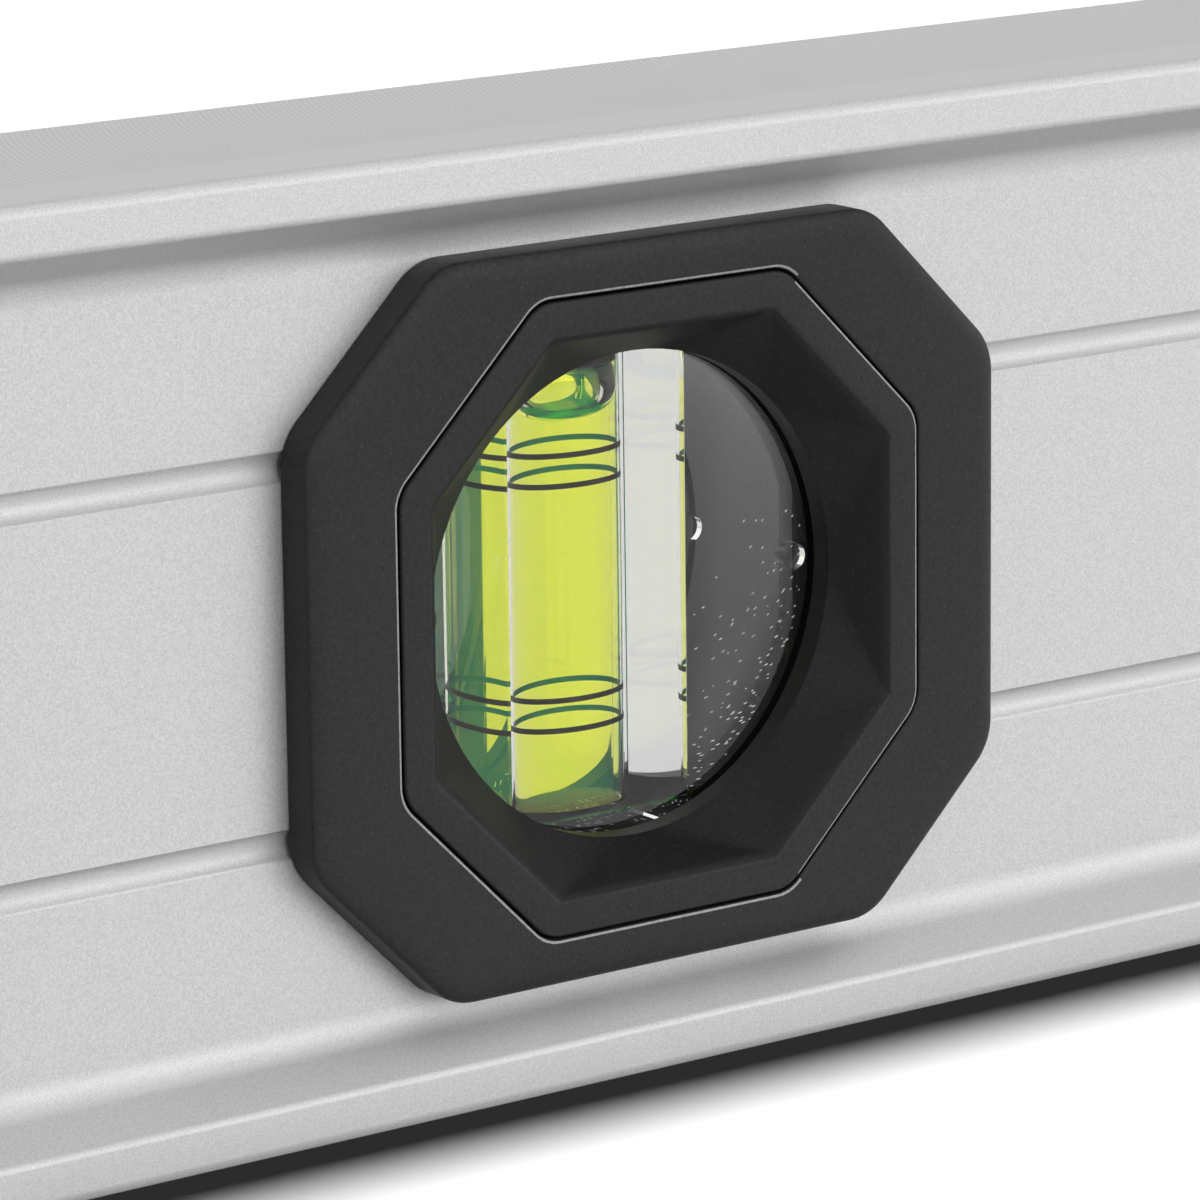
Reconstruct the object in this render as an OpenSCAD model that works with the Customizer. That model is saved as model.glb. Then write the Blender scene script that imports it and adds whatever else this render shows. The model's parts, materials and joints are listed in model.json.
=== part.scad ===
// Digital spirit level: box-section body with a plumb vial, a level vial and a tilt display.
// Millimetres. X runs along the body, Y from front to back, Z up.
// The origin is on the lower measuring face, under the middle of the body.

/* [Body] */
// Length over both end caps
level_l = 400; // [380:10:800]
// Height from one measuring face to the other
body_h = 60; // [58:0.5:66]
// Thickness from the front edges to the back edges
body_d = 25; // [24.5:0.5:30]
// How far the sides lie behind the edges
recess = 3.5; // [3.2:0.1:3.8]
// Height of an edge's flat front
lip_h = 2.8; // [2.4:0.1:3.4]
// Slope between an edge and the cove beside it, in degrees
lip_slope = 35; // [30:1:40]
// Wall of the two sides
web_t = 1.8; // [1.5:0.1:2.2]
// Wall behind the measuring faces
face_t = 3.5; // [3:0.1:4.5]
// Distance of each groove from the middle of the side
groove_off = 11.7; // [9:0.1:14]
// Depth of the grooves
groove_deep = 0.55; // [0.3:0.05:0.8]

/* [End caps] */
// Thickness of the cap outside the body
cap_t = 4; // [3:0.5:8]
// Length of the plug inside the body
cap_plug_l = 14; // [8:1:20]
// Wall of the plug
cap_wall = 2; // [1.4:0.1:3]

/* [Plumb unit] */
// Distance of the unit's middle from the left end
plumb_from_end = 55; // [50:1:60]
// Width of the outer frame
bezel_w = 53; // [50:0.5:56]
// Corner cut of the outer frame
bezel_cut = 10; // [9:0.5:11]
// How far every trim face lies behind the edges of the body
trim_set = 0.4; // [0.2:0.1:0.8]
// Across flats of the inner ring
ring_w = 40; // [38.5:0.5:40.5]
// Corner cut of the inner ring
ring_cut = 10.5; // [9.5:0.5:11.5]
// Gap between the outer frame and the inner ring
ring_gap = 0.12; // [0.08:0.02:0.2]
// Across flats of the funnel at the face
funnel_w = 35.1; // [34:0.1:36]
// Depth of the funnel
funnel_deep = 3.5; // [2.5:0.1:3.8]
// Diameter of the round window
window_d = 31; // [29:0.5:31.5]
// Depth of the window's pane behind the round rim
window_set = 1.5; // [1:0.1:1.8]
// Thickness of the pane
window_t = 1.2; // [1:0.1:1.5]

/* [Plumb vial] */
// Width of the clear block
block_w = 14; // [12:0.5:16]
// Length of the clear block
block_l = 33.4; // [32:0.2:34.4]
// How far the block stands left of the window's middle
block_left = 1.1; // [0:0.1:1.5]
// Diameter of the bore at its middle
bore_d = 8.1; // [7.2:0.1:8.3]
// Thickness of the block behind the bore
bore_wall = 0.7; // [0.5:0.05:0.9]
// How much wider the bore is in its middle than at its ends
bore_crown = 0.12; // [0.04:0.02:0.2]
// Distance from the middle of the bore to an inner ring
ring_inner = 6.9; // [5:0.1:7.4]
// Distance from an inner ring to the outer ring beside it
ring_pitch = 1.95; // [1.6:0.05:2.6]
// Width of a ring
ring_line = 0.34; // [0.2:0.02:0.5]
// Height of the bubble under the stopper
bubble_h = 3.4; // [2:0.1:4]

/* [Level vial] */
// Distance of the unit's middle from the right end
level_from_end = 95; // [80:1:110]
// Length of the level vial's block
lblock_l = 46; // [42:1:50]
// Height of the window frame in the side
lbezel_h = 13.6; // [13:0.2:15]
// Length of the bubble
bubble_l = 13; // [10:0.5:16]

/* [Display unit] */
// Width of the display unit's frame
unit_w = 98; // [96:1:110]
// Width of the lens
lens_w = 56; // [50:1:60]
// Height of the lens
lens_h = 24; // [20:1:25]
// Diameter of a key
key_d = 8.6; // [8:0.1:9.4]
// Distance between two keys
key_pitch = 15; // [12:0.5:15.5]
// How far a key stands out of the frame
key_proud = 0.3; // [0.1:0.05:0.35]
// Travel of a key
key_travel = 0.6; // [0.3:0.1:0.8]
// Thickness of the circuit board
board_t = 1.6; // [1:0.1:2]
// Diameter of a battery cell
cell_d = 10.5; // [10:0.1:10.6]
// Length of a battery cell
cell_l = 44.5; // [43:0.5:45]
// Thickness of the battery door
door_t = 1.6; // [1.4:0.1:1.8]

/* [Hidden] */

// Past both faces of a cut
over = 1;
// Thickness of a slice between which a form is lofted
slice = 0.01;
// Clearance of pieces that slide into each other
fit = 0.1;
// Gap of pieces that only lie beside each other
loose = 0.2;
// Steps in a rounded corner of an outline
steps = 8;
// Sides of a round form
round_n = 48;
funnel_n = 64;
bore_n = 72;

// Section of the body
edge_r = 0.8;
lip_r = 0.6;
cove_r = 2.4;
groove_r = 1.2;
chamber_r = 2;
side_y = body_d / 2 - recess;
inner_y = side_y - web_t;
slope_run = (recess - (lip_r + cove_r) * (1 - sin(lip_slope))) / cos(lip_slope);
cove_h = (lip_r + cove_r) * cos(lip_slope) + slope_run * sin(lip_slope);
lip_z = body_h - lip_h;
side_top = lip_z - cove_h;
side_h = 2 * side_top - body_h;
mid_z = body_h / 2;
profile_l = level_l - 2 * cap_t;
groove_half = acos((groove_r - groove_deep) / groove_r);

// Trim, measured from the front; the back is its mirror image
trim_y = body_d / 2 - trim_set;
bevel_w = 1.6;
bevel_h = 0.7;
bevel_mid = 0.35;
bezel_gap = 0.05;
bezel_h = side_h - 2 * bezel_gap;
bezel_r = 4;
neck_side = 3.9;
neck_w = bezel_w - 2 * neck_side;
neck_wall = 1;
neck_h = ring_w + 2 * neck_wall;
neck_cut = ring_cut;
neck_r = 2;
ring_r = 2.6;
ledge_in = 1.5;
ledge_w = ring_w - 2 * ledge_in;
ledge_cut = ring_cut - ledge_in / 2;
funnel_cut = 9;
rim_y = trim_y - funnel_deep;
pane_y = rim_y - window_set;
pane_back = pane_y - window_t;
ledge_up = 1.1;
ledge_y = pane_y + ledge_up;
pane_edge = 1.5;
pane_r = window_d / 2 + pane_edge;
peg_d = 1.8;
peg_l = 0.9;
peg_in = 1.1;
peg_r = window_d / 2 - peg_in;
pane_gap = 0.1;
block_d = 2 * (pane_back - pane_gap);
plumb_x = plumb_from_end - level_l / 2;
tie_d = 2;
tie_l = 3;
tie_x = (ledge_w + neck_w) / 4;
tie_z = 6;

// Bore of a vial, lying from -half to +half
plumb_bore_r = bore_d / 2;
stopper_l = 2.9;
bore_foot = 2.2;
plumb_bore_l = block_l - bore_foot - stopper_l;
plumb_bore_z = mid_z - block_l / 2 + bore_foot + plumb_bore_l / 2;
bore_right = 0.5;
bore_back = block_d / 2 - plumb_bore_r - bore_wall;
bore_at_x = plumb_x - block_left + bore_right;
ring_sink = 0.08;
bubble_side = 0.25;
bubble_r = plumb_bore_r - bubble_side;
bubble_full = 0.7;
bubble_top = 0.9;

// Level vial
level_x = level_l / 2 - level_from_end;
lvial_z = side_top - lbezel_h / 2 - bezel_gap;
lbore_l = lblock_l - bore_foot - stopper_l;
lbore_x = level_x - lblock_l / 2 + bore_foot + lbore_l / 2;
lbezel_over = 4;
lneck_side = 1.2;
lview_end = 2;
lview_side = 1.2;
lbezel_w = lblock_l + 2 * lbezel_over;
lneck_w = lblock_l;
lneck_h = lbezel_h - 2 * lneck_side;
lview_w = lneck_w - 2 * lview_end;
lview_h = lneck_h - 2 * lview_side;
lview_r = 1.5;
lbezel_r = 3;
lbezel_sunk = 1;
tub_wall = 1.6;
tub_side = 1.7;
tub_end = 3.6;
tub_w = lblock_l + 2 * tub_end;
tub_d = 2 * inner_y - 2 * loose;
lblock_s = tub_d - 2 * tub_side;
lbore_wall = 1.25;
level_bore_r = lblock_s / 2 - lbore_wall;
tub_sunk = 0.6;
tub_top = body_h - tub_sunk;
tub_floor = lvial_z - lblock_s / 2 - tub_wall;
cover_t = 1.6;
cover_edge = 1.2;
cover_side = 0.6;
bubble_lside = 0.35;
bubble_lr = level_bore_r - bubble_lside;
bubble_film = 0.15;
cover_w = lblock_l + 2 * cover_edge;
cover_d = lblock_s + 2 * cover_side;

// Display unit
unit_r = 4;
unit_wall = 1.6;
unit_face = 2;
unit_lip_x = 3.5;
unit_lip_z = 2.3;
unit_neck_w = unit_w - 2 * unit_lip_x;
unit_neck_h = side_h - 2 * unit_lip_z;
unit_in_w = unit_neck_w - 2 * unit_wall;
unit_in_h = unit_neck_h - 2 * unit_wall;
lens_t = 1.2;
lens_sunk = 0.1;
lens_edge = 2.4;
lcd_edge = 1;
guide_edge = 1.5;
lens_top = 1;
lens_z = mid_z + unit_neck_h / 2 - lens_h / 2 - lens_top;
face_in = trim_y - unit_face;
lcd_t = 1.8;
guide_t = 1.7;
board_y = face_in - lcd_t - guide_t;
board_back = board_y - board_t;
board_w = unit_in_w - 2 * fit;
board_h = unit_in_h - 2 * fit;
key_low = 3;
key_z = mid_z - unit_neck_h / 2 + key_d / 2 + key_low;
key_clear = 0.1;
key_rim = 0.9;
key_rim_t = 0.8;
mat_t = 1;
dome_d = 5.4;
dome_gap = 0.05;
dome_top = face_in - key_rim_t - key_travel - dome_gap;
key_count = 5;
boss_d = 5;
screw_d = 2;
screw_head_d = 3.6;
screw_head_h = 1.2;
board_grip = 3;
board_screw_in = 4;
board_screw_x = board_w / 2 - board_screw_in;
tall_part = 1.8;
split_gap = 0.8;
split_y = tall_part - board_back + split_gap;
seal_t = 1;
seal_w = 1.2;

// Battery bay, measured towards the back
door_clear = 0.2;
door_back = 0.05;
door_side = 4;
door_edge = 2.4;
cell_gap = 0.2;
contact_t = 0.4;
contact_in = 1;
contact_w = cell_d - 2 * contact_in;
spring_l = 3;
spring_d = 7;
tip_d = 5.5;
tip_l = 1;
bay_l = cell_l + spring_l + 2 * contact_t;
bay_h = 2 * cell_d + 4 * cell_gap;
bay_wall = 1.2;
door_w = bay_l + 2 * door_side;
door_h = bay_h + 2 * door_edge;
door_y = trim_y - door_t;
hinge_r = door_t / 2;
hinge_y = trim_y - hinge_r;
hinge_z = mid_z + door_h / 2 - hinge_r;
hinge_pin_r = 0.5;
hinge_pin_l = 1.2;
hinge_end = 0.5;
hinge_fit = 0.05;
cell_y = door_y - cell_gap - cell_d / 2;
bay_floor = cell_y - cell_d / 2;
grip_d = 12;
grip_deep = 0.8;
case_screw_in = 6;
case_screw_x = unit_neck_w / 2 - case_screw_in;
case_screw_z = unit_neck_h / 2 - case_screw_in;
case_screw_d = 2.6;
case_head_d = 5;
case_head_h = 1.8;
case_head_sunk = 0.4;
case_boss_d = 7;
case_grip = 3;
cross_l = 3;
cross_w = 0.7;
cross_deep = 1;

// Points of an arc about c
function arc(c, r, a0, a1) = [for (i = [0:steps]) c + r * [cos(a0 + (a1 - a0) * i / steps),
    sin(a0 + (a1 - a0) * i / steps)]];

// Mirror images of a list of points, in reverse order
function flip_x(pts) = [for (i = [len(pts) - 1:-1:0]) [-pts[i][0], pts[i][1]]];
function flip_z(pts, h) = [for (i = [len(pts) - 1:-1:0]) [pts[i][0], h - pts[i][1]]];

// Radius of a barrel bore of length l, at the distance t from its middle, where it has the radius r
function bore_at(t, l, r) = r - bore_crown / 2 * pow(2 * t / l, 2);

// Octagon with cut corners, rounded by r where r is more than nothing
function oct_corner(w, h, cut, k) = let (
    x = [1, 1, -1, -1, -1, -1, 1, 1][k],
    z = [1, 1, 1, 1, -1, -1, -1, -1][k],
    on_side = [1, 0, 0, 1, 1, 0, 0, 1][k])
    [x * (w / 2 - (1 - on_side) * cut), z * (h / 2 - on_side * cut)];
function oct_pts(w, h, cut, r) = [for (k = [0:7]) let (
    v = oct_corner(w, h, cut, k),
    n = ([cos(45 * k), sin(45 * k)] + [cos(45 * k + 45), sin(45 * k + 45)]) / (1 + cos(45)))
    each (r > 0 ? arc(v - r * n, r, 45 * k, 45 * k + 45) : [v])];

// Rectangle with round corners
function round_pts(w, h, r) = concat(arc([w / 2 - r, h / 2 - r], r, 0, 90),
    arc([-w / 2 + r, h / 2 - r], r, 90, 180), arc([-w / 2 + r, -h / 2 + r], r, 180, 270),
    arc([w / 2 - r, -h / 2 + r], r, 270, 360));

// Outline of the body's section, Y across and Z up
function quarter_pts() = concat(
    arc([body_d / 2 - edge_r, body_h - edge_r], edge_r, 90, 0),
    arc([body_d / 2 - lip_r, lip_z], lip_r, 0, lip_slope - 90),
    arc([side_y + cove_r, side_top], cove_r, 90 + lip_slope, 180),
    arc([side_y + groove_r - groove_deep, mid_z + groove_off], groove_r,
        180 - groove_half, 180 + groove_half));
function half_pts() = concat(quarter_pts(), flip_z(quarter_pts(), body_h));
function section_pts() = concat(half_pts(), flip_x(half_pts()));

// A plate in the XZ plane from y0 to y1
module plate(y0, y1) {
    translate([0, y1, 0])
        rotate([90, 0, 0])
            linear_extrude(y1 - y0)
                children();
}

// A round pin or hole along Y from y0 to y1
module pin_y(x, z, d, y0, y1) {
    translate([x, y1, z])
        rotate([90, 0, 0])
            cylinder(h = y1 - y0, d = d, $fn = round_n);
}

// A round pin or hole along X from x0 to x1
module pin_x(y, z, d, x0, x1) {
    translate([x0, y, z])
        rotate([0, 90, 0])
            cylinder(h = x1 - x0, d = d, $fn = round_n);
}

// A box centred in X and Z, from y0 to y1
module slab(w, h, y0, y1) {
    translate([-w / 2, y0, -h / 2])
        cube([w, y1 - y0, h]);
}

// A frame with a rounded bevel, through its outline, the bevel's middle and the edge of the face
module bevelled(y0, y1) {
    hull() {
        plate(y0, y1 - bevel_h)
            children(0);
        plate(y1 - bevel_h * bevel_mid, y1 - bevel_h * bevel_mid + slice)
            children(1);
        plate(y1 - slice, y1)
            children(2);
    }
}

// Places a trim piece at the front or at the back
module at_front(x, z) {
    translate([x, 0, z])
        mirror([0, 1, 0])
            children();
}

module at_back(x, z) {
    translate([x, 0, z])
        children();
}

// Body

module body_bar() {
    translate([-profile_l / 2, 0, 0])
        rotate([90, 0, 90])
            linear_extrude(profile_l)
                difference() {
                    polygon(section_pts());
                    translate([0, mid_z])
                        polygon(round_pts(2 * inner_y, body_h - 2 * face_t, chamber_r));
                }
}

module profile() {
    color("silver")
        difference() {
            body_bar();
            translate([plumb_x, 0, mid_z])
                plate(-body_d, body_d)
                    polygon(oct_pts(neck_w + 2 * loose, neck_h + 2 * loose, neck_cut, neck_r));
            translate([0, 0, mid_z])
                plate(-body_d, body_d)
                    polygon(round_pts(unit_neck_w + 2 * loose, unit_neck_h + 2 * loose, unit_r));
            translate([level_x, 0, lvial_z])
                plate(-body_d, body_d)
                    polygon(round_pts(lneck_w + 2 * loose, lneck_h + 2 * loose, lbezel_r));
            translate([level_x, 0, body_h - face_t - over])
                linear_extrude(face_t + 2 * over)
                    square([tub_w + 2 * loose, tub_d + 2 * loose], center = true);
        }
}

// Cap for the right end, with its plug towards -X
module end_cap(x_end) {
    cap_inset = 0.3;
    cap_r = 3;
    cap_edge = 1;
    cap_w = body_d - 2 * cap_inset;
    cap_h = body_h - 2 * cap_inset;
    plug_w = 2 * inner_y - 2 * loose;
    plug_h = body_h - 2 * face_t - 2 * loose;
    translate([x_end, 0, mid_z])
        rotate([90, 0, 90]) {
            hull() {
                linear_extrude(cap_t - cap_edge)
                    polygon(round_pts(cap_w, cap_h, cap_r));
                linear_extrude(cap_t)
                    polygon(round_pts(cap_w - 2 * cap_edge, cap_h - 2 * cap_edge, cap_r - cap_edge));
            }
            translate([0, 0, -cap_plug_l])
                linear_extrude(cap_plug_l + slice)
                    difference() {
                        polygon(round_pts(plug_w, plug_h, chamber_r - loose));
                        for (side = [-1, 1])
                            translate([0, side * (plug_h - cap_wall) / 4])
                                square([plug_w - 2 * cap_wall, (plug_h - 3 * cap_wall) / 2], center = true);
                    }
        }
}

module end_cap_right() {
    color("dimgray")
        end_cap(profile_l / 2);
}

module end_cap_left() {
    color("dimgray")
        mirror([1, 0, 0])
            end_cap(profile_l / 2);
}

// Plumb unit

module plumb_bezel() {
    difference() {
        union() {
            bevelled(side_y, trim_y) {
                polygon(oct_pts(bezel_w, bezel_h, bezel_cut, bezel_r));
                polygon(oct_pts(bezel_w - bevel_w / 2, bezel_h - bevel_w / 2, bezel_cut, bezel_r));
                polygon(oct_pts(bezel_w - 2 * bevel_w, bezel_h - 2 * bevel_w,
                    bezel_cut - bevel_w / 2, bezel_r));
            }
            plate(pane_back, side_y + slice)
                polygon(oct_pts(neck_w, neck_h, neck_cut, neck_r));
            for (sx = [-1, 1], sz = [-1, 1])
                pin_y(sx * tie_x, sz * tie_z, tie_d, pane_back - tie_l, pane_back + slice);
        }
        plate(ledge_y, trim_y + over)
            polygon(oct_pts(ring_w + 2 * ring_gap, ring_w + 2 * ring_gap, ring_cut, ring_r));
        plate(pane_back - over, ledge_y + over)
            polygon(oct_pts(ledge_w + 2 * ring_gap, ledge_w + 2 * ring_gap, ledge_cut, ring_r));
    }
}

module plumb_bezel_front() {
    color("dimgray")
        at_front(plumb_x, mid_z)
            plumb_bezel();
}

module plumb_bezel_rear() {
    color("dimgray")
        at_back(plumb_x, mid_z)
            plumb_bezel();
}

// The funnel runs from a sharp octagon at the face to the round rim
module funnel_space() {
    hull() {
        plate(trim_y - slice, trim_y)
            polygon(oct_pts(funnel_w, funnel_w, funnel_cut, 0));
        plate(rim_y, rim_y + slice)
            circle(d = window_d, $fn = funnel_n);
    }
}

module plumb_funnel() {
    difference() {
        union() {
            plate(ledge_y, trim_y)
                polygon(oct_pts(ring_w, ring_w, ring_cut, ring_r));
            plate(pane_back, ledge_y + slice)
                polygon(oct_pts(ledge_w, ledge_w, ledge_cut, ring_r));
        }
        funnel_space();
        pin_y(0, 0, window_d, pane_y - over, rim_y + slice);
        pin_y(0, 0, 2 * (pane_r + fit), pane_back - over, pane_y);
    }
}

module plumb_funnel_front() {
    color("dimgray")
        at_front(plumb_x, mid_z)
            plumb_funnel();
}

module plumb_funnel_rear() {
    color("dimgray")
        at_back(plumb_x, mid_z)
            plumb_funnel();
}

module plumb_window() {
    pin_y(0, 0, 2 * pane_r, pane_back, pane_y);
    for (side = [-1, 1])
        pin_y(side * peg_r, 0, peg_d, pane_back - peg_l, pane_back + slice);
}

module plumb_window_front() {
    color("lightcyan")
        at_front(plumb_x, mid_z)
            plumb_window();
}

module plumb_window_rear() {
    color("lightcyan")
        at_back(plumb_x, mid_z)
            plumb_window();
}

module plumb_carrier() {
    color("dimgray")
        translate([plumb_x, 0, mid_z])
            difference() {
                plate(-pane_back, pane_back)
                    polygon(oct_pts(neck_w - 2 * fit, neck_h - 2 * fit, neck_cut, neck_r));
                pin_y(0, 0, window_d, -body_d, body_d);
                translate([-block_left, 0, fit / 2])
                    slab(block_w + 2 * fit, block_l + fit, -body_d, body_d);
                for (sx = [-1, 1], sz = [-1, 1])
                    pin_y(sx * tie_x, sz * tie_z, tie_d + fit, -body_d, body_d);
            }
}

// A barrel bore along Z with its middle at the origin
module bore_barrel(l, r) {
    half = 6;
    rotate_extrude($fn = bore_n)
        polygon(concat([[0, -l / 2]],
            [for (i = [-half:half]) [bore_at(l / 2 * i / half, l, r), l / 2 * i / half]],
            [[0, l / 2]]));
}

// The four reading rings, let into the wall of the bore
module ring_set(l, r) {
    for (side = [-1, 1], t = [ring_inner, ring_inner + ring_pitch])
        translate([0, 0, side * t - ring_line / 2])
            difference() {
                cylinder(h = ring_line, r = bore_at(t, l, r) + ring_sink, $fn = bore_n);
                translate([0, 0, -over])
                    cylinder(h = ring_line + 2 * over, r = bore_at(t, l, r), $fn = bore_n);
            }
}

// A vial block along Z with its lower end at the origin and its bore beside the middle
module vial_block(w, d, l, bore_l, r, right, back) {
    difference() {
        translate([-w / 2, -d / 2, 0])
            cube([w, d, l]);
        translate([right, back, bore_foot + bore_l / 2]) {
            bore_barrel(bore_l, r);
            ring_set(bore_l, r);
        }
        translate([right, back, bore_foot + bore_l - slice])
            cylinder(h = stopper_l + over, r = bore_at(bore_l / 2, bore_l, r), $fn = bore_n);
    }
}

module stopper(l, r) {
    cylinder(h = l, r = r - bore_crown / 2, $fn = bore_n);
}

module plumb_vial() {
    color("honeydew")
        translate([plumb_x - block_left, 0, mid_z - block_l / 2])
            vial_block(block_w, block_d, block_l, plumb_bore_l, plumb_bore_r, bore_right, bore_back);
}

// The bubble is an empty space under the stopper
module plumb_liquid() {
    color("greenyellow")
        translate([bore_at_x, bore_back, plumb_bore_z])
            difference() {
                bore_barrel(plumb_bore_l, plumb_bore_r);
                translate([0, 0, plumb_bore_l / 2 - bubble_h])
                    rotate_extrude($fn = round_n)
                        polygon(concat([[0, bubble_h + over]],
                            [for (a = [-90:15:0]) [bubble_r * cos(a), bubble_h * (1 + sin(a)) * bubble_full]],
                            [[bubble_r * bubble_top, bubble_h], [bubble_r * bubble_top, bubble_h + over]]));
            }
}

module plumb_rings() {
    color("black")
        translate([bore_at_x, bore_back, plumb_bore_z])
            ring_set(plumb_bore_l, plumb_bore_r);
}

module plumb_plug() {
    color("white")
        translate([bore_at_x, bore_back, mid_z + block_l / 2 - stopper_l])
            stopper(stopper_l, plumb_bore_r);
}

// Level unit

module level_carrier() {
    color("dimgray")
        translate([level_x, 0, 0])
            difference() {
                translate([-tub_w / 2, -tub_d / 2, tub_floor])
                    cube([tub_w, tub_d, tub_top - tub_floor]);
                translate([-lblock_l / 2 - fit, -lblock_s / 2 - fit, tub_floor + tub_wall])
                    cube([lblock_l + 2 * fit, lblock_s + 2 * fit, body_h]);
                translate([0, 0, tub_top - cover_t])
                    linear_extrude(body_h)
                        square([cover_w + 2 * fit, cover_d + 2 * fit], center = true);
                translate([0, 0, lvial_z])
                    slab(lview_w, lview_h, -body_d, body_d);
            }
}

module level_cover() {
    color("lightcyan")
        translate([level_x, 0, tub_top - cover_t])
            linear_extrude(cover_t)
                square([cover_w, cover_d], center = true);
}

module level_bezel() {
    difference() {
        union() {
            bevelled(side_y, trim_y - lbezel_sunk) {
                polygon(round_pts(lbezel_w, lbezel_h, lbezel_r));
                polygon(round_pts(lbezel_w - bevel_w / 2, lbezel_h - bevel_w / 2, lbezel_r));
                polygon(round_pts(lbezel_w - bevel_w, lbezel_h - bevel_w, lbezel_r - bevel_w / 2));
            }
            plate(tub_d / 2, side_y + slice)
                polygon(round_pts(lneck_w, lneck_h, lbezel_r));
        }
        plate(inner_y - over, trim_y + over)
            polygon(round_pts(lview_w, lview_h, lview_r));
    }
}

module level_bezel_front() {
    color("dimgray")
        at_front(level_x, lvial_z)
            level_bezel();
}

module level_bezel_rear() {
    color("dimgray")
        at_back(level_x, lvial_z)
            level_bezel();
}

// Turns a vial that stands on the origin so that it lies along X
module lying() {
    translate([level_x - lblock_l / 2, 0, lvial_z])
        rotate([0, 90, 0])
            children();
}

module level_vial() {
    color("honeydew")
        lying()
            vial_block(lblock_s, lblock_s, lblock_l, lbore_l, level_bore_r, 0, 0);
}

module level_liquid() {
    color("greenyellow")
        difference() {
            translate([lbore_x, 0, lvial_z])
                rotate([0, 90, 0])
                    bore_barrel(lbore_l, level_bore_r);
            translate([lbore_x - bubble_l / 2, 0, lvial_z + level_bore_r - bubble_lr - bubble_film])
                rotate([0, 90, 0])
                    rotate_extrude($fn = round_n)
                        polygon(concat([[0, 0]],
                            [for (a = [-90:15:0]) [bubble_lr * cos(a), bubble_lr * (1 + sin(a))]],
                            [for (a = [0:15:90]) [bubble_lr * cos(a), bubble_l - bubble_lr * (1 - sin(a))]]));
        }
}

module level_rings() {
    color("black")
        translate([lbore_x, 0, lvial_z])
            rotate([0, 90, 0])
                ring_set(lbore_l, level_bore_r);
}

module level_plug() {
    color("white")
        translate([level_x + lblock_l / 2 - stopper_l, 0, lvial_z])
            rotate([0, 90, 0])
                stopper(stopper_l, level_bore_r);
}

// Display unit

module unit_frame() {
    bevelled(side_y, trim_y) {
        polygon(round_pts(unit_w, bezel_h, unit_r));
        polygon(round_pts(unit_w - bevel_w / 2, bezel_h - bevel_w / 2, unit_r));
        polygon(round_pts(unit_w - 2 * bevel_w, bezel_h - 2 * bevel_w, unit_r - bevel_w / 2));
    }
}

module at_case_screws() {
    for (sx = [-1, 1], sz = [-1, 1])
        translate([sx * case_screw_x, 0, sz * case_screw_z])
            children();
}

function key_x(i) = (i - (key_count - 1) / 2) * key_pitch;

module display_shape() {
    difference() {
        union() {
            unit_frame();
            plate(-split_y, side_y + slice)
                polygon(round_pts(unit_neck_w, unit_neck_h, unit_r));
        }
        difference() {
            plate(-split_y - over, face_in)
                polygon(round_pts(unit_in_w, unit_in_h, unit_r - unit_wall));
            for (sx = [-1, 1])
                pin_y(sx * board_screw_x, 0, boss_d, board_y, face_in + over);
            at_case_screws()
                pin_y(0, 0, case_boss_d, board_y, face_in + over);
        }
        for (sx = [-1, 1])
            pin_y(sx * board_screw_x, 0, screw_d, board_y - over, face_in);
        at_case_screws()
            pin_y(0, 0, case_screw_d + fit, board_y - over, face_in);
        translate([0, 0, lens_z - mid_z]) {
            slab(lens_w + 2 * fit, lens_h + 2 * fit, trim_y - lens_t - lens_sunk, trim_y + over);
            slab(lens_w - 2 * lens_edge, lens_h - 2 * lens_edge, face_in - over, trim_y);
        }
        for (i = [0:key_count - 1])
            pin_y(key_x(i), key_z - mid_z, key_d + 2 * key_clear, face_in - over, trim_y + over);
    }
}

module display_housing() {
    color("dimgray")
        at_front(0, mid_z)
            display_shape();
}

module display_lens() {
    color("slategray")
        at_front(0, lens_z)
            slab(lens_w, lens_h, trim_y - lens_sunk - lens_t, trim_y - lens_sunk);
}

module lcd_panel() {
    color("darkseagreen")
        at_front(0, lens_z)
            slab(lens_w - 2 * lcd_edge, lens_h - 2 * lcd_edge, face_in - lcd_t, face_in);
}

module light_guide() {
    color("white")
        at_front(0, lens_z)
            slab(lens_w - 2 * guide_edge, lens_h - 2 * guide_edge, board_y, face_in - lcd_t);
}

module circuit_board() {
    color("seagreen")
        at_front(0, mid_z)
            difference() {
                plate(board_back, board_y)
                    polygon(round_pts(board_w, board_h, unit_r - unit_wall));
                for (sx = [-1, 1])
                    pin_y(sx * board_screw_x, 0, screw_d + 2 * loose, board_back - over, board_y + over);
                at_case_screws()
                    pin_y(0, 0, case_screw_d + 2 * loose, board_back - over, board_y + over);
            }
}

module keypad_mat() {
    mat_w = (key_count - 1) * key_pitch + key_d;
    color("gray")
        at_front(0, key_z) {
            slab(mat_w, key_d, board_y, board_y + mat_t);
            for (i = [0:key_count - 1])
                pin_y(key_x(i), 0, dome_d, board_y + mat_t - slice, dome_top);
        }
}

// One key: a cap in the frame and a rim that keeps it in
module key(i) {
    crown = 0.4;
    color("gold")
        at_front(key_x(i), key_z) {
            pin_y(0, 0, key_d, face_in - key_rim_t, trim_y + key_proud - crown);
            translate([0, trim_y + key_proud - crown, 0])
                rotate([-90, 0, 0])
                    cylinder(h = crown, d1 = key_d, d2 = key_d - 2 * crown, $fn = round_n);
            pin_y(0, 0, key_d + 2 * key_rim, face_in - key_rim_t, face_in);
        }
}

module key_power() {
    key(0);
}

module key_hold() {
    key(1);
}

module key_unit() {
    key(2);
}

module key_zero() {
    key(3);
}

module key_light() {
    key(4);
}

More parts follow.
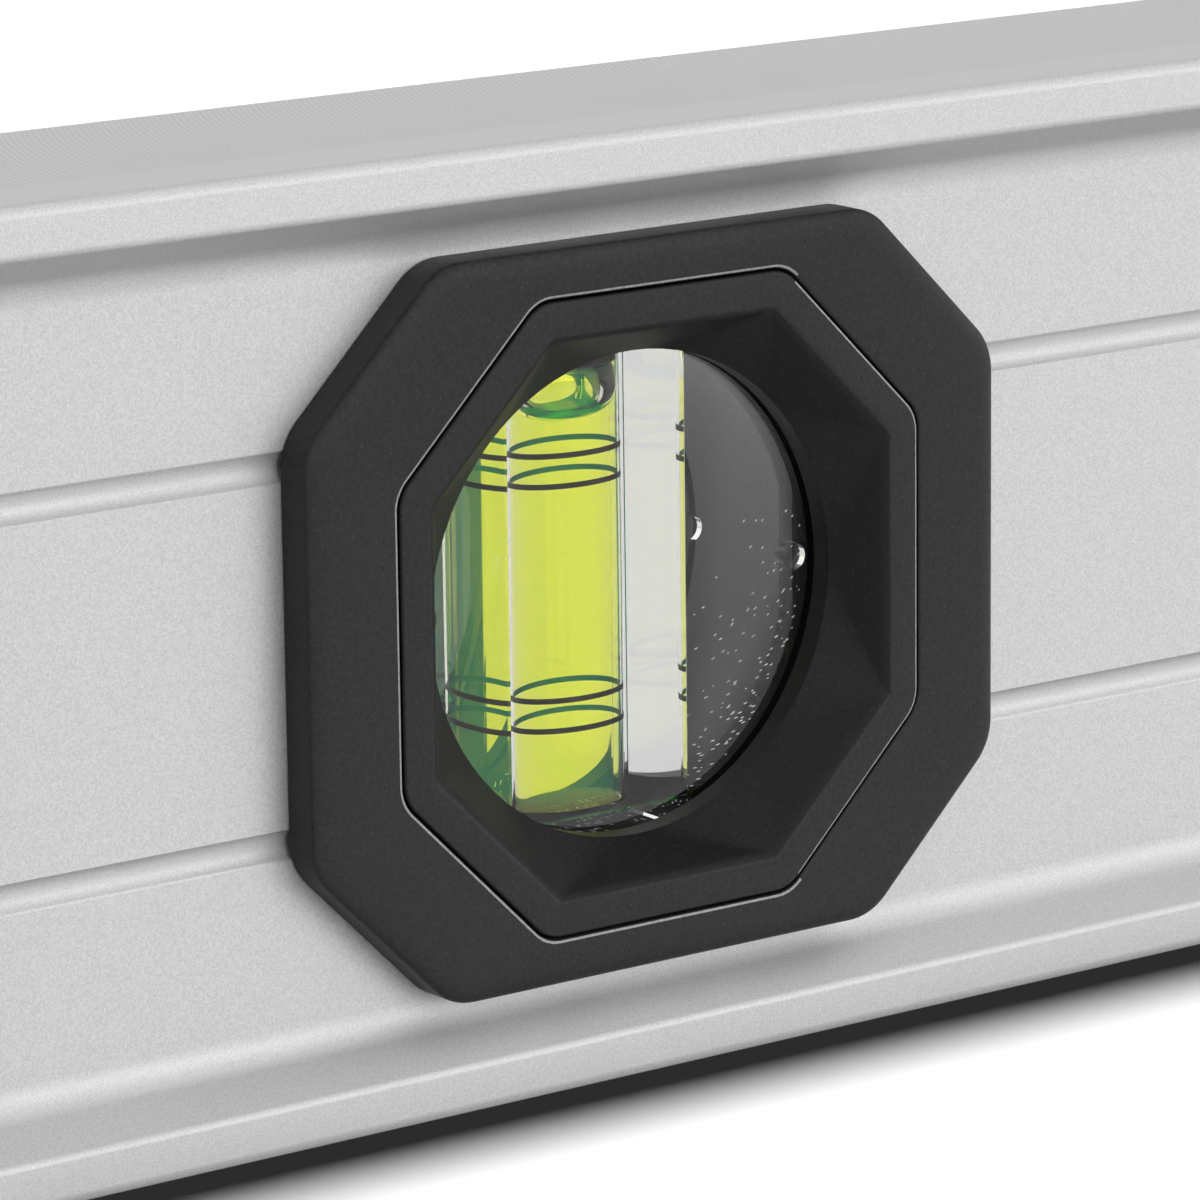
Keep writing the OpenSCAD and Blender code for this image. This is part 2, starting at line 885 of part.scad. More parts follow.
module tilt_sensor() {
    chip_s = 6;
    chip_t = 1.2;
    color("black")
        at_front(-board_w / 4, mid_z)
            slab(chip_s, chip_s, board_back - chip_t, board_back);
}

module buzzer() {
    buzzer_d = 9;
    color("black")
        at_front(0, mid_z)
            pin_y(board_w / 4 + buzzer_d, 0, buzzer_d, board_back - tall_part, board_back);
}

module board_screws() {
    color("silver")
        at_front(0, mid_z)
            for (sx = [-1, 1]) {
                pin_y(sx * board_screw_x, 0, screw_head_d, board_back - screw_head_h, board_back);
                pin_y(sx * board_screw_x, 0, screw_d - fit, board_back - slice, board_y + board_grip);
            }
}

module case_seal() {
    color("black")
        at_back(0, mid_z)
            difference() {
                plate(split_y, split_y + seal_t)
                    polygon(round_pts(unit_neck_w, unit_neck_h, unit_r));
                plate(split_y - over, split_y + seal_t + over)
                    polygon(round_pts(unit_neck_w - 2 * seal_w, unit_neck_h - 2 * seal_w, unit_r - seal_w));
            }
}

module rear_shape() {
    difference() {
        union() {
            unit_frame();
            plate(split_y + seal_t, side_y + slice)
                polygon(round_pts(unit_neck_w, unit_neck_h, unit_r));
        }
        difference() {
            plate(split_y, face_in)
                polygon(round_pts(unit_in_w, unit_in_h, unit_r - unit_wall));
            slab(bay_l + 2 * bay_wall, bay_h + 2 * bay_wall, bay_floor - bay_wall, face_in + over);
            slab(door_w + 2 * bay_wall, door_h + 2 * bay_wall, door_y - door_back - bay_wall, face_in + over);
            at_case_screws()
                pin_y(0, 0, case_boss_d, split_y + seal_t, face_in + over);
        }
        slab(bay_l, bay_h, bay_floor, trim_y + over);
        slab(door_w + 2 * door_clear, door_h + 2 * door_clear, door_y - door_back, trim_y + over);
        pin_y(0, -door_h / 2, grip_d, trim_y - grip_deep, trim_y + over);
        pin_x(hinge_y, hinge_z - mid_z, 2 * (hinge_pin_r + hinge_fit),
            -door_w / 2 - hinge_pin_l - hinge_end, door_w / 2 + hinge_pin_l + hinge_end);
        at_case_screws() {
            pin_y(0, 0, case_head_d + 2 * loose, trim_y - case_head_h - case_head_sunk, trim_y + over);
            pin_y(0, 0, case_screw_d + 2 * fit, split_y - over, trim_y);
        }
    }
}

module rear_housing() {
    color("dimgray")
        at_back(0, mid_z)
            rear_shape();
}

// Door that hangs from its round upper edge, which carries two pivots
module battery_door() {
    color("gray") {
        translate([-door_w / 2, door_y, mid_z - door_h / 2])
            cube([door_w, door_t, hinge_z - mid_z + door_h / 2]);
        pin_x(hinge_y, hinge_z, 2 * hinge_r, -door_w / 2, door_w / 2);
        pin_x(hinge_y, hinge_z, 2 * hinge_pin_r, -door_w / 2 - hinge_pin_l, door_w / 2 + hinge_pin_l);
    }
}

// Each cell lies the other way round than the one beside it
module at_cells() {
    for (side = [-1, 1])
        translate([side * spring_l / 2, cell_y, mid_z + side * (cell_d / 2 + cell_gap)])
            rotate([0, side * 90, 0])
                children();
}

module battery_cells() {
    color("darkorange")
        at_cells() {
            translate([0, 0, -cell_l / 2])
                cylinder(h = cell_l - tip_l, d = cell_d, $fn = round_n);
            translate([0, 0, cell_l / 2 - tip_l - slice])
                cylinder(h = tip_l + slice, d = tip_d, $fn = round_n);
        }
}

module battery_contacts() {
    color("silver")
        at_cells() {
            translate([-contact_w / 2, -contact_w / 2, cell_l / 2])
                cube([contact_w, contact_w, contact_t]);
            translate([-contact_w / 2, -contact_w / 2, -cell_l / 2 - spring_l - contact_t])
                cube([contact_w, contact_w, contact_t]);
            translate([0, 0, -cell_l / 2 - spring_l - slice])
                cylinder(h = spring_l + slice, d1 = spring_d, d2 = tip_d, $fn = round_n);
        }
}

module housing_screws() {
    head_y = trim_y - case_head_sunk;
    color("silver")
        at_back(0, mid_z)
            at_case_screws()
                difference() {
                    union() {
                        pin_y(0, 0, case_head_d, head_y - case_head_h, head_y);
                        pin_y(0, 0, case_screw_d, -board_y - case_grip, head_y - case_head_h + slice);
                    }
                    for (turn = [0, 90])
                        rotate([0, turn, 0])
                            slab(cross_l, cross_w, head_y - cross_deep, trim_y);
                }
}

profile();
end_cap_left();
end_cap_right();
plumb_bezel_front();
plumb_bezel_rear();
plumb_funnel_front();
plumb_funnel_rear();
plumb_window_front();
plumb_window_rear();
plumb_carrier();
plumb_vial();
plumb_liquid();
plumb_rings();
plumb_plug();
level_carrier();
level_cover();
level_bezel_front();
level_bezel_rear();
level_vial();
level_liquid();
level_rings();
level_plug();
display_housing();
display_lens();
lcd_panel();
light_guide();
circuit_board();
keypad_mat();
key_power();
key_hold();
key_unit();
key_zero();
key_light();
tilt_sensor();
buzzer();
board_screws();
case_seal();
rear_housing();
battery_door();
battery_cells();
battery_contacts();
housing_screws();
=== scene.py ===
import json
import math

import bmesh
import bpy
from mathutils import Matrix, Vector

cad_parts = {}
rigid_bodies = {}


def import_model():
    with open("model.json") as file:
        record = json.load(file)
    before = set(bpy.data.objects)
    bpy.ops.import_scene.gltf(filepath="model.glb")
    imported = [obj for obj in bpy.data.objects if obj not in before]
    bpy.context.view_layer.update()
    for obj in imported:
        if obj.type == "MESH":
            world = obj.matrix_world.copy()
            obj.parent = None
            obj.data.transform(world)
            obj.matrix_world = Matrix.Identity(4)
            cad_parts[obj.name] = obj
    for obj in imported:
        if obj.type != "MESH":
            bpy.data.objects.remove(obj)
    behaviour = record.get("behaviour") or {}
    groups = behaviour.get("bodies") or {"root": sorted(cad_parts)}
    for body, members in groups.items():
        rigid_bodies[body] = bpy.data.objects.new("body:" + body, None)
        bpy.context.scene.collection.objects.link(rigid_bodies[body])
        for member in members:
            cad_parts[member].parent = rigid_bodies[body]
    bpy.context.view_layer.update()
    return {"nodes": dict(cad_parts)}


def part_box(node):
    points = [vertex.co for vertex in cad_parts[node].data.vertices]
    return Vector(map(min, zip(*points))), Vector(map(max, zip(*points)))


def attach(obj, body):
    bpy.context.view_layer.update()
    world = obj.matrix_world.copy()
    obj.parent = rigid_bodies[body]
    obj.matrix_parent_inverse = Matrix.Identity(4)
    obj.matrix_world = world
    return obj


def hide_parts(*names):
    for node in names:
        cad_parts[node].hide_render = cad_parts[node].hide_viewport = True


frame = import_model()
nodes = frame["nodes"]
scene = bpy.context.scene
mm = 0.001


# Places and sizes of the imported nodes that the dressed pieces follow, in metres

def box(node):
    low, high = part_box(node)
    return Vector(low), Vector(high)


body_low, body_high = box("profile")
frame_low, frame_high = box("plumb_bezel_front")
funnel_low, funnel_high = box("plumb_funnel_front")
pane_face = -box("plumb_window_front")[0].y
plumb_x = (funnel_low.x + funnel_high.x) / 2
mid_z = (body_low.z + body_high.z) / 2


# Camera: left of the plumb window and a little above it

def place_camera():
    azimuth, elevation, roll = math.radians(-36.24), math.radians(12.9), math.radians(-0.7)
    aimed_at = Vector((plumb_x - 5.5 * mm, body_low.y, 31.11 * mm))
    distance = 394.7 * mm
    camera = bpy.data.objects.new("camera", bpy.data.cameras.new("camera"))
    scene.collection.objects.link(camera)
    scene.camera = camera
    camera.data.sensor_width = 36
    camera.data.lens = 192.474
    camera.data.clip_start = 0.01
    camera.data.clip_end = 20
    flat = math.cos(elevation)
    back = Vector((math.sin(azimuth) * flat, -math.cos(azimuth) * flat, math.sin(elevation)))
    right = (-back).cross(Vector((0, 0, 1))).normalized()
    up = right.cross(-back)
    across = right * math.cos(roll) + up * math.sin(roll)
    upright = up * math.cos(roll) - right * math.sin(roll)
    place = aimed_at + back * distance
    rows = [(across[i], upright[i], back[i], place[i]) for i in range(3)]
    camera.matrix_world = Matrix(rows + [(0, 0, 0, 1)])


place_camera()


# Shader helpers

def new_material(name):
    material = bpy.data.materials.new(name)
    material.use_nodes = True
    tree = material.node_tree
    return material, tree, tree.nodes["Principled BSDF"]


def add(tree, kind, **settings):
    node = tree.nodes.new("ShaderNode" + kind)
    for key, value in settings.items():
        setattr(node, key, value)
    return node


def plug(tree, value, socket):
    if isinstance(value, (int, float, tuple)):
        socket.default_value = value
    else:
        tree.links.new(value, socket)


def calc(tree, operation, a, b=0.0):
    node = add(tree, "Math", operation=operation)
    plug(tree, a, node.inputs[0])
    plug(tree, b, node.inputs[1])
    return node.outputs[0]


def times(tree, a, b):
    return calc(tree, "MULTIPLY", a, b)


def plus(tree, a, b):
    return calc(tree, "ADD", a, b)


def minus(tree, a, b):
    return calc(tree, "SUBTRACT", a, b)


def below(tree, a, b):
    return calc(tree, "LESS_THAN", a, b)


def above(tree, a, b):
    return calc(tree, "GREATER_THAN", a, b)


def unsigned(tree, a):
    return calc(tree, "ABSOLUTE", a)


def span(tree, a, b):
    return calc(tree, "SQRT", plus(tree, times(tree, a, a), times(tree, b, b)))


def ramp(tree, value, low, high, to_low, to_high):
    node = add(tree, "MapRange")
    for i, number in enumerate((value, low, high, to_low, to_high)):
        plug(tree, number, node.inputs[i])
    return node.outputs[0]


def blend(tree, factor, first, second):
    node = add(tree, "Mix", data_type="RGBA")
    plug(tree, factor, node.inputs[0])
    plug(tree, first if not isinstance(first, tuple) else (*first, 1), node.inputs[6])
    plug(tree, second if not isinstance(second, tuple) else (*second, 1), node.inputs[7])
    return node.outputs[2]


def object_axes(tree):
    place = add(tree, "TexCoord")
    axes = add(tree, "SeparateXYZ")
    tree.links.new(place.outputs["Object"], axes.inputs[0])
    return axes.outputs


def dent(tree, shader, height, strength, distance=0.02 * mm):
    bump = add(tree, "Bump")
    bump.inputs["Strength"].default_value = strength
    bump.inputs["Distance"].default_value = distance
    tree.links.new(height, bump.inputs["Height"])
    tree.links.new(bump.outputs[0], shader.inputs["Normal"])


# Grain: the fine pitting of a blasted or eroded surface, its slow change of tone, and stray specks
def make_grain():
    group = bpy.data.node_groups.new("fine grain", "ShaderNodeTree")
    for label, value in (("Scale", 4000.0), ("Speck Scale", 1500.0), ("Speck Share", 0.1)):
        made = group.interface.new_socket(label, in_out="INPUT", socket_type="NodeSocketFloat")
        made.default_value = value
    for label in ("Height", "Tone", "Specks"):
        group.interface.new_socket(label, in_out="OUTPUT", socket_type="NodeSocketFloat")
    start = group.nodes.new("NodeGroupInput")
    end = group.nodes.new("NodeGroupOutput")
    place = add(group, "TexCoord")
    fine = add(group, "TexNoise")
    broad = add(group, "TexNoise")
    spots = add(group, "TexVoronoi", feature="F1")
    for node in (fine, broad, spots):
        group.links.new(place.outputs["Object"], node.inputs["Vector"])
    fine.inputs["Detail"].default_value = 1
    broad.inputs["Detail"].default_value = 2
    group.links.new(start.outputs["Scale"], fine.inputs["Scale"])
    group.links.new(times(group, start.outputs["Scale"], 0.02), broad.inputs["Scale"])
    group.links.new(start.outputs["Speck Scale"], spots.inputs["Scale"])
    tint = add(group, "SeparateColor")
    group.links.new(spots.outputs["Color"], tint.inputs["Color"])
    near = below(group, spots.outputs["Distance"], 0.3)
    chosen = below(group, tint.outputs["Red"], start.outputs["Speck Share"])
    group.links.new(times(group, near, chosen), end.inputs["Specks"])
    group.links.new(fine.outputs["Fac"], end.inputs["Height"])
    group.links.new(broad.outputs["Fac"], end.inputs["Tone"])
    return group


grain = make_grain()


def place_grain(tree, scale, speck_scale=1500.0, speck_share=0.0):
    node = tree.nodes.new("ShaderNodeGroup")
    node.node_tree = grain
    node.inputs["Scale"].default_value = scale
    node.inputs["Speck Scale"].default_value = speck_scale
    node.inputs["Speck Share"].default_value = speck_share
    return node.outputs


# Colour and roughness that follow the grain
def grained(tree, shader, texture, dark, light, rough, spread):
    patchy = ramp(tree, texture["Tone"], 0.3, 0.7, rough - spread, rough + spread)
    tree.links.new(patchy, shader.inputs["Roughness"])
    return blend(tree, ramp(tree, texture["Height"], 0.3, 0.7, 0.0, 1.0), dark, light)


# Blasted and anodised metal, matte with a fine sparkle
def blasted(name, dark, light, rough, metal=1.0):
    material, tree, shader = new_material(name)
    texture = place_grain(tree, 8500.0)
    colour = grained(tree, shader, texture, dark, light, rough, 0.03)
    shader.inputs["Metallic"].default_value = metal
    return material, tree, shader, texture, colour


# The measuring faces are milled: the cutter, wider than the face, leaves a curved line at each step. It
# leaves out a strip along the front edge.
def milled_aluminium():
    cutter_r, cutter_y, step, strip_y = 62 * mm, -17 * mm, 0.42 * mm, -6.4 * mm
    material, tree, shader, texture, colour = blasted(
        "anodised aluminium", (0.56, 0.56, 0.562), (0.69, 0.69, 0.692), rough=0.5, metal=0.35)
    x, y, z = object_axes(tree)
    facing = add(tree, "NewGeometry")
    normal = add(tree, "SeparateXYZ")
    tree.links.new(facing.outputs["Normal"], normal.inputs[0])
    level = above(tree, unsigned(tree, normal.outputs["Z"]), 0.9)
    outer = above(tree, unsigned(tree, minus(tree, z, mid_z)), mid_z - 0.2 * mm)
    reach = minus(tree, y, cutter_y)
    sweep = calc(tree, "SQRT", minus(tree, cutter_r ** 2, times(tree, reach, reach)))
    along = plus(tree, plus(tree, x, sweep), times(tree, texture["Tone"], 0.1 * mm))
    wave = calc(tree, "SINE", times(tree, along, 2 * math.pi / step))
    cut = above(tree, plus(tree, y, times(tree, wave, 0.15 * mm)), strip_y)
    mask = times(tree, times(tree, level, outer), cut)
    lines = times(tree, wave, mask)
    dent(tree, shader, plus(tree, texture["Height"], times(tree, lines, 1.4)), 0.4)
    shade = times(tree, plus(tree, lines, mask), 0.12)
    tree.links.new(blend(tree, shade, colour, (0.45, 0.45, 0.45)), shader.inputs["Base Color"])
    return material


def plated_steel():
    material, tree, shader, texture, colour = blasted(
        "plated steel", (0.5, 0.5, 0.52), (0.62, 0.62, 0.64), rough=0.28)
    tree.links.new(colour, shader.inputs["Base Color"])
    dent(tree, shader, texture["Height"], 0.15)
    return material


# Moulded plastic or rubber with an eroded grain
def moulded(name, dark, light, rough, depth, scale=3400.0, specks=0.0, speck_tone=0.05, gloss=0.4):
    material, tree, shader = new_material(name)
    shader.inputs["Specular IOR Level"].default_value = gloss
    texture = place_grain(tree, scale, speck_scale=5200.0, speck_share=specks)
    colour = grained(tree, shader, texture, dark, light, rough, 0.04)
    if specks:
        colour = blend(tree, texture["Specks"], colour, (speck_tone,) * 3)
    tree.links.new(colour, shader.inputs["Base Color"])
    dent(tree, shader, texture["Height"], depth)
    return material


# The carrier's round wall is left rough from turning. Painted glints, short near-white dashes that glow, run
# round it, low on the right near the front pane, and further back only at the bottom. Its faint painted glow
# on the right stands for the light that comes in through the panes, and stops short of the front.
def turned_wall_with_painted_glints():
    material, tree, shader = new_material("black carrier plastic with painted glints")
    texture = place_grain(tree, 2600.0)
    x, y, z = object_axes(tree)
    angle = calc(tree, "ARCTAN2", minus(tree, z, mid_z), minus(tree, x, plumb_x))
    spot = add(tree, "CombineXYZ")
    plug(tree, plus(tree, times(tree, angle, 56.0), times(tree, y, 2600.0)), spot.inputs[0])
    plug(tree, times(tree, y, 1500.0), spot.inputs[1])
    dashes = add(tree, "TexVoronoi", feature="F1")
    dashes.inputs["Scale"].default_value = 1.0
    tree.links.new(spot.outputs[0], dashes.inputs["Vector"])
    tint = add(tree, "SeparateColor")
    tree.links.new(dashes.outputs["Color"], tint.inputs["Color"])
    near = below(tree, dashes.outputs["Distance"], 0.2)
    low_right = ramp(tree, unsigned(tree, plus(tree, angle, 0.95)), 0.7, 1.2, 1.0, 0.0)
    rear_share = ramp(tree, angle, -1.45, -1.15, 0.7, 0.08)
    share = ramp(tree, y, -4.5 * mm, 1.5 * mm, 0.75, rear_share)
    chosen = below(tree, tint.outputs["Green"], times(tree, low_right, share))
    # Painted glints: the chosen dashes get a near-white colour and a glow of their own
    painted_glints = times(tree, near, times(tree, chosen, above(tree, y, -5.3 * mm)))
    black = blend(tree, texture["Height"], (0.003, 0.003, 0.003), (0.009, 0.009, 0.009))
    tree.links.new(blend(tree, painted_glints, black, (0.95, 0.95, 0.95)), shader.inputs["Base Color"])
    to_right = ramp(tree, x, plumb_x, plumb_x + 8 * mm, 0.0, 1.0)
    front = ramp(tree, z, 20 * mm, 38 * mm, -2.6 * mm, -5.4 * mm)
    inside = ramp(tree, y, front, plus(tree, front, 1.5 * mm), 0.0, 1.0)
    # Painted light: a faint glow on the right for the light that comes in through the panes
    painted_haze = times(tree, times(tree, to_right, ramp(tree, z, 24 * mm, 42 * mm, 0.02, 0.06)), inside)
    glow = calc(tree, "MAXIMUM", times(tree, painted_glints, 0.45), painted_haze)
    tree.links.new(blend(tree, glow, (0.0, 0.0, 0.0), (1.0, 1.0, 1.0)), shader.inputs["Emission Color"])
    shader.inputs["Emission Strength"].default_value = 1
    tree.links.new(ramp(tree, texture["Tone"], 0.3, 0.7, 0.3, 0.42), shader.inputs["Roughness"])
    shader.inputs["Specular IOR Level"].default_value = 0.2
    shader.inputs["IOR"].default_value = 1.3
    dent(tree, shader, texture["Height"], 0.8, 0.05 * mm)
    return material


# The screen glows, a little less towards its ends: partly its backlight, partly painted light for the studio
# light that the lens keeps from it
def lit_screen():
    material, tree, shader = new_material("display glass")
    texture = place_grain(tree, 900.0)
    tone = blend(tree, texture["Height"], (0.3, 0.34, 0.27), (0.34, 0.38, 0.31))
    low, high = box("lcd_panel")
    x, y, z = object_axes(tree)
    from_middle = unsigned(tree, minus(tree, x, (low.x + high.x) / 2))
    dimmed = ramp(tree, from_middle, 10 * mm, 30 * mm, 0.0, 0.26)
    tree.links.new(tone, shader.inputs["Base Color"])
    tree.links.new(blend(tree, dimmed, tone, (0.0, 0.0, 0.0)), shader.inputs["Emission Color"])
    shader.inputs["Emission Strength"].default_value = 1.15
    shader.inputs["Roughness"].default_value = 0.15
    return material


# Clear plastic or glass; the ratio is the refraction inside over that outside
def clear(name, colour, ratio):
    material, tree, shader = new_material(name)
    shader.inputs["Base Color"].default_value = (*colour, 1)
    shader.inputs["Transmission Weight"].default_value = 1
    shader.inputs["Roughness"].default_value = 0
    shader.inputs["IOR"].default_value = ratio
    return material


# The liquid soaks up blue along the light's way through it, and also sheds a faint blue-green light
def tinted_liquid(name, ratio):
    material = clear(name, (0.98, 0.98, 0.9), ratio)
    tree = material.node_tree
    soak = tree.nodes.new("ShaderNodeVolumeAbsorption")
    soak.inputs["Color"].default_value = (0.99, 0.975, 0.03, 1)
    soak.inputs["Density"].default_value = 450
    glow = add(tree, "Emission")
    glow.inputs["Color"].default_value = (0.05, 0.84, 1.0, 1)
    glow.inputs["Strength"].default_value = 19
    both = add(tree, "AddShader")
    tree.links.new(soak.outputs[0], both.inputs[0])
    tree.links.new(glow.outputs[0], both.inputs[1])
    tree.links.new(both.outputs[0], tree.nodes["Material Output"].inputs["Volume"])
    return material


# White marks printed on the keys: each is a ring or a bar about the key's middle, in millimetres. A ring
# with a gap is open at its top.
def ring_mark(tree, x, z, radius, gap=0.0):
    line = below(tree, unsigned(tree, minus(tree, span(tree, x, z), radius * mm)), 0.16 * mm)
    if not gap:
        return line
    beside = above(tree, unsigned(tree, x), gap * mm)
    return times(tree, line, calc(tree, "MAXIMUM", beside, below(tree, z, 0.0)))


def bar_mark(tree, x, z, across, up, wide, tall):
    near_x = below(tree, unsigned(tree, minus(tree, x, across * mm)), wide / 2 * mm)
    near_z = below(tree, unsigned(tree, minus(tree, z, up * mm)), tall / 2 * mm)
    return times(tree, near_x, near_z)


rays_of_light = [(1.8, 0), (-1.8, 0), (0, 1.8), (0, -1.8),
                 (1.3, 1.3), (-1.3, 1.3), (1.3, -1.3), (-1.3, -1.3)]
key_marks = {
    "power": [("ring", 1.5, 0.45), ("bar", 0, 1.1, 0.34, 1.5)],
    "hold": [("bar", -0.8, 0, 0.5, 2.6), ("bar", 0.8, 0, 0.5, 2.6)],
    "unit": [("ring", 0.7), ("bar", 0, -1.5, 2.6, 0.34)],
    "zero": [("ring", 1.6), ("ring", 0.3)],
    "light": [("ring", 0.9)] + [("bar", x, z, 0.4, 0.4) for x, z in rays_of_light],
}


def marked_key(key, shapes):
    material = key_grey.copy()
    material.name = key + " key plastic"
    tree = material.node_tree
    shader = tree.nodes["Principled BSDF"]
    low, high = box("key_" + key)
    x, y, z = object_axes(tree)
    x = minus(tree, x, (low.x + high.x) / 2)
    z = minus(tree, z, (low.z + high.z) / 2)
    ink = 0.0
    for kind, *sizes in shapes:
        mark = ring_mark if kind == "ring" else bar_mark
        ink = calc(tree, "MAXIMUM", ink, mark(tree, x, z, *sizes))
    ink = times(tree, ink, below(tree, y, low.y + 0.2 * mm))
    plastic = shader.inputs["Base Color"].links[0].from_socket
    tree.links.new(blend(tree, ink, plastic, (0.75, 0.75, 0.75)), shader.inputs["Base Color"])
    return material


def grey(dark, light):
    return (dark,) * 3, (light,) * 3


acrylic_ior, liquid_ior = 1.49, 1.42
aluminium = milled_aluminium()
steel = plated_steel()
frame_black = moulded("black frame plastic", (0.002, 0.002, 0.0021), (0.011, 0.011, 0.0111), rough=0.5,
                      depth=0.9, specks=0.05, speck_tone=0.035, gloss=0.32)
# A darker, less glossy copy of the frame's black for the funnel's slopes; its darker colour is painted shade
# in the recess
funnel_black_painted_shade = moulded("black funnel plastic with painted shade", (0.002, 0.002, 0.0021), (0.007, 0.007, 0.0071), rough=0.5,
                       depth=0.6, specks=0.04, speck_tone=0.03, gloss=0.2)
# Pale grey for a painted highlight along the parting line's edges
painted_edge_highlight = moulded("painted edge highlight", *grey(0.3, 0.45), rough=0.4, depth=0.2)
carrier_black = turned_wall_with_painted_glints()
cap_black = moulded("end cap plastic", (0.012, 0.012, 0.0125), (0.028, 0.028, 0.028), rough=0.55, depth=0.4,
                    scale=2200.0)
key_grey = moulded("key plastic", (0.06, 0.06, 0.062), (0.085, 0.085, 0.088), rough=0.45, depth=0.2)
soft_grey = moulded("seal rubber", *grey(0.03, 0.05), rough=0.7, depth=0.3)
board_green = moulded("circuit board", (0.01, 0.09, 0.03), (0.015, 0.13, 0.045), rough=0.3, depth=0.1,
                      scale=900.0)
chip_black = moulded("chip package", *grey(0.012, 0.02), rough=0.5, depth=0.2)
wrap_grey = moulded("cell wrap", (0.1, 0.105, 0.11), (0.13, 0.135, 0.14), rough=0.25, depth=0.05,
                    scale=700.0)
stopper_white = moulded("stopper plastic", (0.7, 0.71, 0.68), (0.8, 0.81, 0.78), rough=0.35, depth=0.1,
                        scale=900.0)
guide_white = moulded("light guide", (0.6, 0.62, 0.6), (0.7, 0.72, 0.7), rough=0.4, depth=0.1, scale=900.0)
lcd_grey = lit_screen()
segment_ink = moulded("display ink", (0.012, 0.014, 0.012), (0.02, 0.022, 0.02), rough=0.4, depth=0.1)
ring_black = moulded("ring paint", *grey(0.004, 0.01), rough=0.5, depth=0.1)
acrylic = clear("clear acrylic", (1.0, 1.0, 1.0), acrylic_ior)
bore_wall = clear("bore wall", (1.0, 1.0, 1.0), acrylic_ior / liquid_ior)
liquid_skin = tinted_liquid("liquid", 1.0)
bubble_wall = clear("bubble", (1.0, 1.0, 1.0), liquid_ior)
lens_clear = clear("display lens", (0.96, 0.97, 0.97), acrylic_ior)


# Mesh helpers

def link_piece(name, mesh, materials, replaced, body="body"):
    piece = bpy.data.objects.new(name, mesh)
    scene.collection.objects.link(piece)
    for material in materials:
        mesh.materials.append(material)
    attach(piece, body)
    if replaced:
        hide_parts(replaced)
    return piece


def smooth(mesh, angle=30):
    mesh.polygons.foreach_set("use_smooth", [True] * len(mesh.polygons))
    mesh.set_sharp_from_angle(angle=math.radians(angle))
    mesh.update()


def finish_mesh(name, work):
    mesh = bpy.data.meshes.new(name)
    work.to_mesh(mesh)
    work.free()
    return mesh


# Outline of an octagon with cut and rounded corners, in the XZ plane about the origin
def octagon(width, height, cut, radius, steps=10):
    x, z = width / 2, height / 2
    corners = [(x, z - cut), (x - cut, z), (cut - x, z), (-x, z - cut),
               (-x, cut - z), (cut - x, -z), (x - cut, -z), (x, cut - z)]
    points = []
    for k, corner in enumerate(corners):
        first, last = math.radians(45 * k), math.radians(45 * k + 45)
        pull = radius / (1 + math.cos(math.pi / 4))
        cx = corner[0] - pull * (math.cos(first) + math.cos(last))
        cz = corner[1] - pull * (math.sin(first) + math.sin(last))
        for i in range(steps + 1):
            turn = first + (last - first) * i / steps
            points.append((cx + radius * math.cos(turn), cz + radius * math.sin(turn)))
    return points


# A circle with its points at the same turns as those of the octagon
def circle(radius, steps=10):
    turns = [math.radians(45 * (k + i / steps)) for k in range(8) for i in range(steps + 1)]
    return [(radius * math.cos(turn), radius * math.sin(turn)) for turn in turns]


def between(a, b, t):
    return [(p[0] + (q[0] - p[0]) * t, p[1] + (q[1] - p[1]) * t) for p, q in zip(a, b)]


# A closed ring-shaped shell through loops of equally many points; each loop is (outline, depth)
def ring_shell(name, loops, side):
    work = bmesh.new()
    rows = [[work.verts.new((plumb_x + x, side * y, mid_z + z)) for x, z in outline] for outline, y in loops]
    count = len(rows[0])
    for a, b in zip(rows, rows[1:] + rows[:1]):
        for i in range(count):
            j = (i + 1) % count
            work.faces.new((a[i], a[j], b[j], b[i]))
    bmesh.ops.remove_doubles(work, verts=work.verts, dist=0.0005 * mm)
    bmesh.ops.recalc_face_normals(work, faces=work.faces)
    mesh = finish_mesh(name, work)
    return mesh


# Plumb window's outer frame and inner ring, with their real edge roundings

face = -frame_low.y
web = -body_low.y - 3.5 * mm
pane_back = pane_face - 1.2 * mm
ledge_y = pane_face + 1.1 * mm
rim_y = pane_face + 1.5 * mm
frame_w, frame_h = frame_high.x - frame_low.x, frame_high.z - frame_low.z
frame_cut, frame_r = 10 * mm, 4 * mm
bevel_w, bevel_d = 1.6 * mm, 0.7 * mm
neck_w, neck_h, neck_cut, neck_r = 45.2 * mm, 42 * mm, 10.5 * mm, 2 * mm
ring_w = funnel_high.x - funnel_low.x
ring_cut, ring_r = 10.5 * mm, 2.6 * mm
parting_gap = 0.12 * mm
ledge_w, ledge_cut = ring_w - 3 * mm, 9.75 * mm
mouth_w, mouth_cut = 35.1 * mm, 9 * mm
window_r, seat_r = 15.5 * mm, 17.1 * mm
# The parting line carries a painted highlight, a pale grey edge colour: on the frame's lip left of this
# place, on the ring's rim right of it
highlight_side_x = 14.5 * mm


def frame_outline(inset):
    return octagon(frame_w - 2 * inset, frame_h - 2 * inset, frame_cut - 0.55 * inset, frame_r)


def ring_outline(grow, width=ring_w, cut=ring_cut):
    size = width + 2 * grow
    return octagon(size, size, cut + 0.6 * grow, ring_r + 0.3 * grow)


# How far out a point lies, as a share of the inner ring's own octagon
def ring_size(out):
    x, z = abs(out.x), abs(out.z)
    half = ring_w / 2
    return max(x / half, z / half, (x + z) / (2 * half - ring_cut))


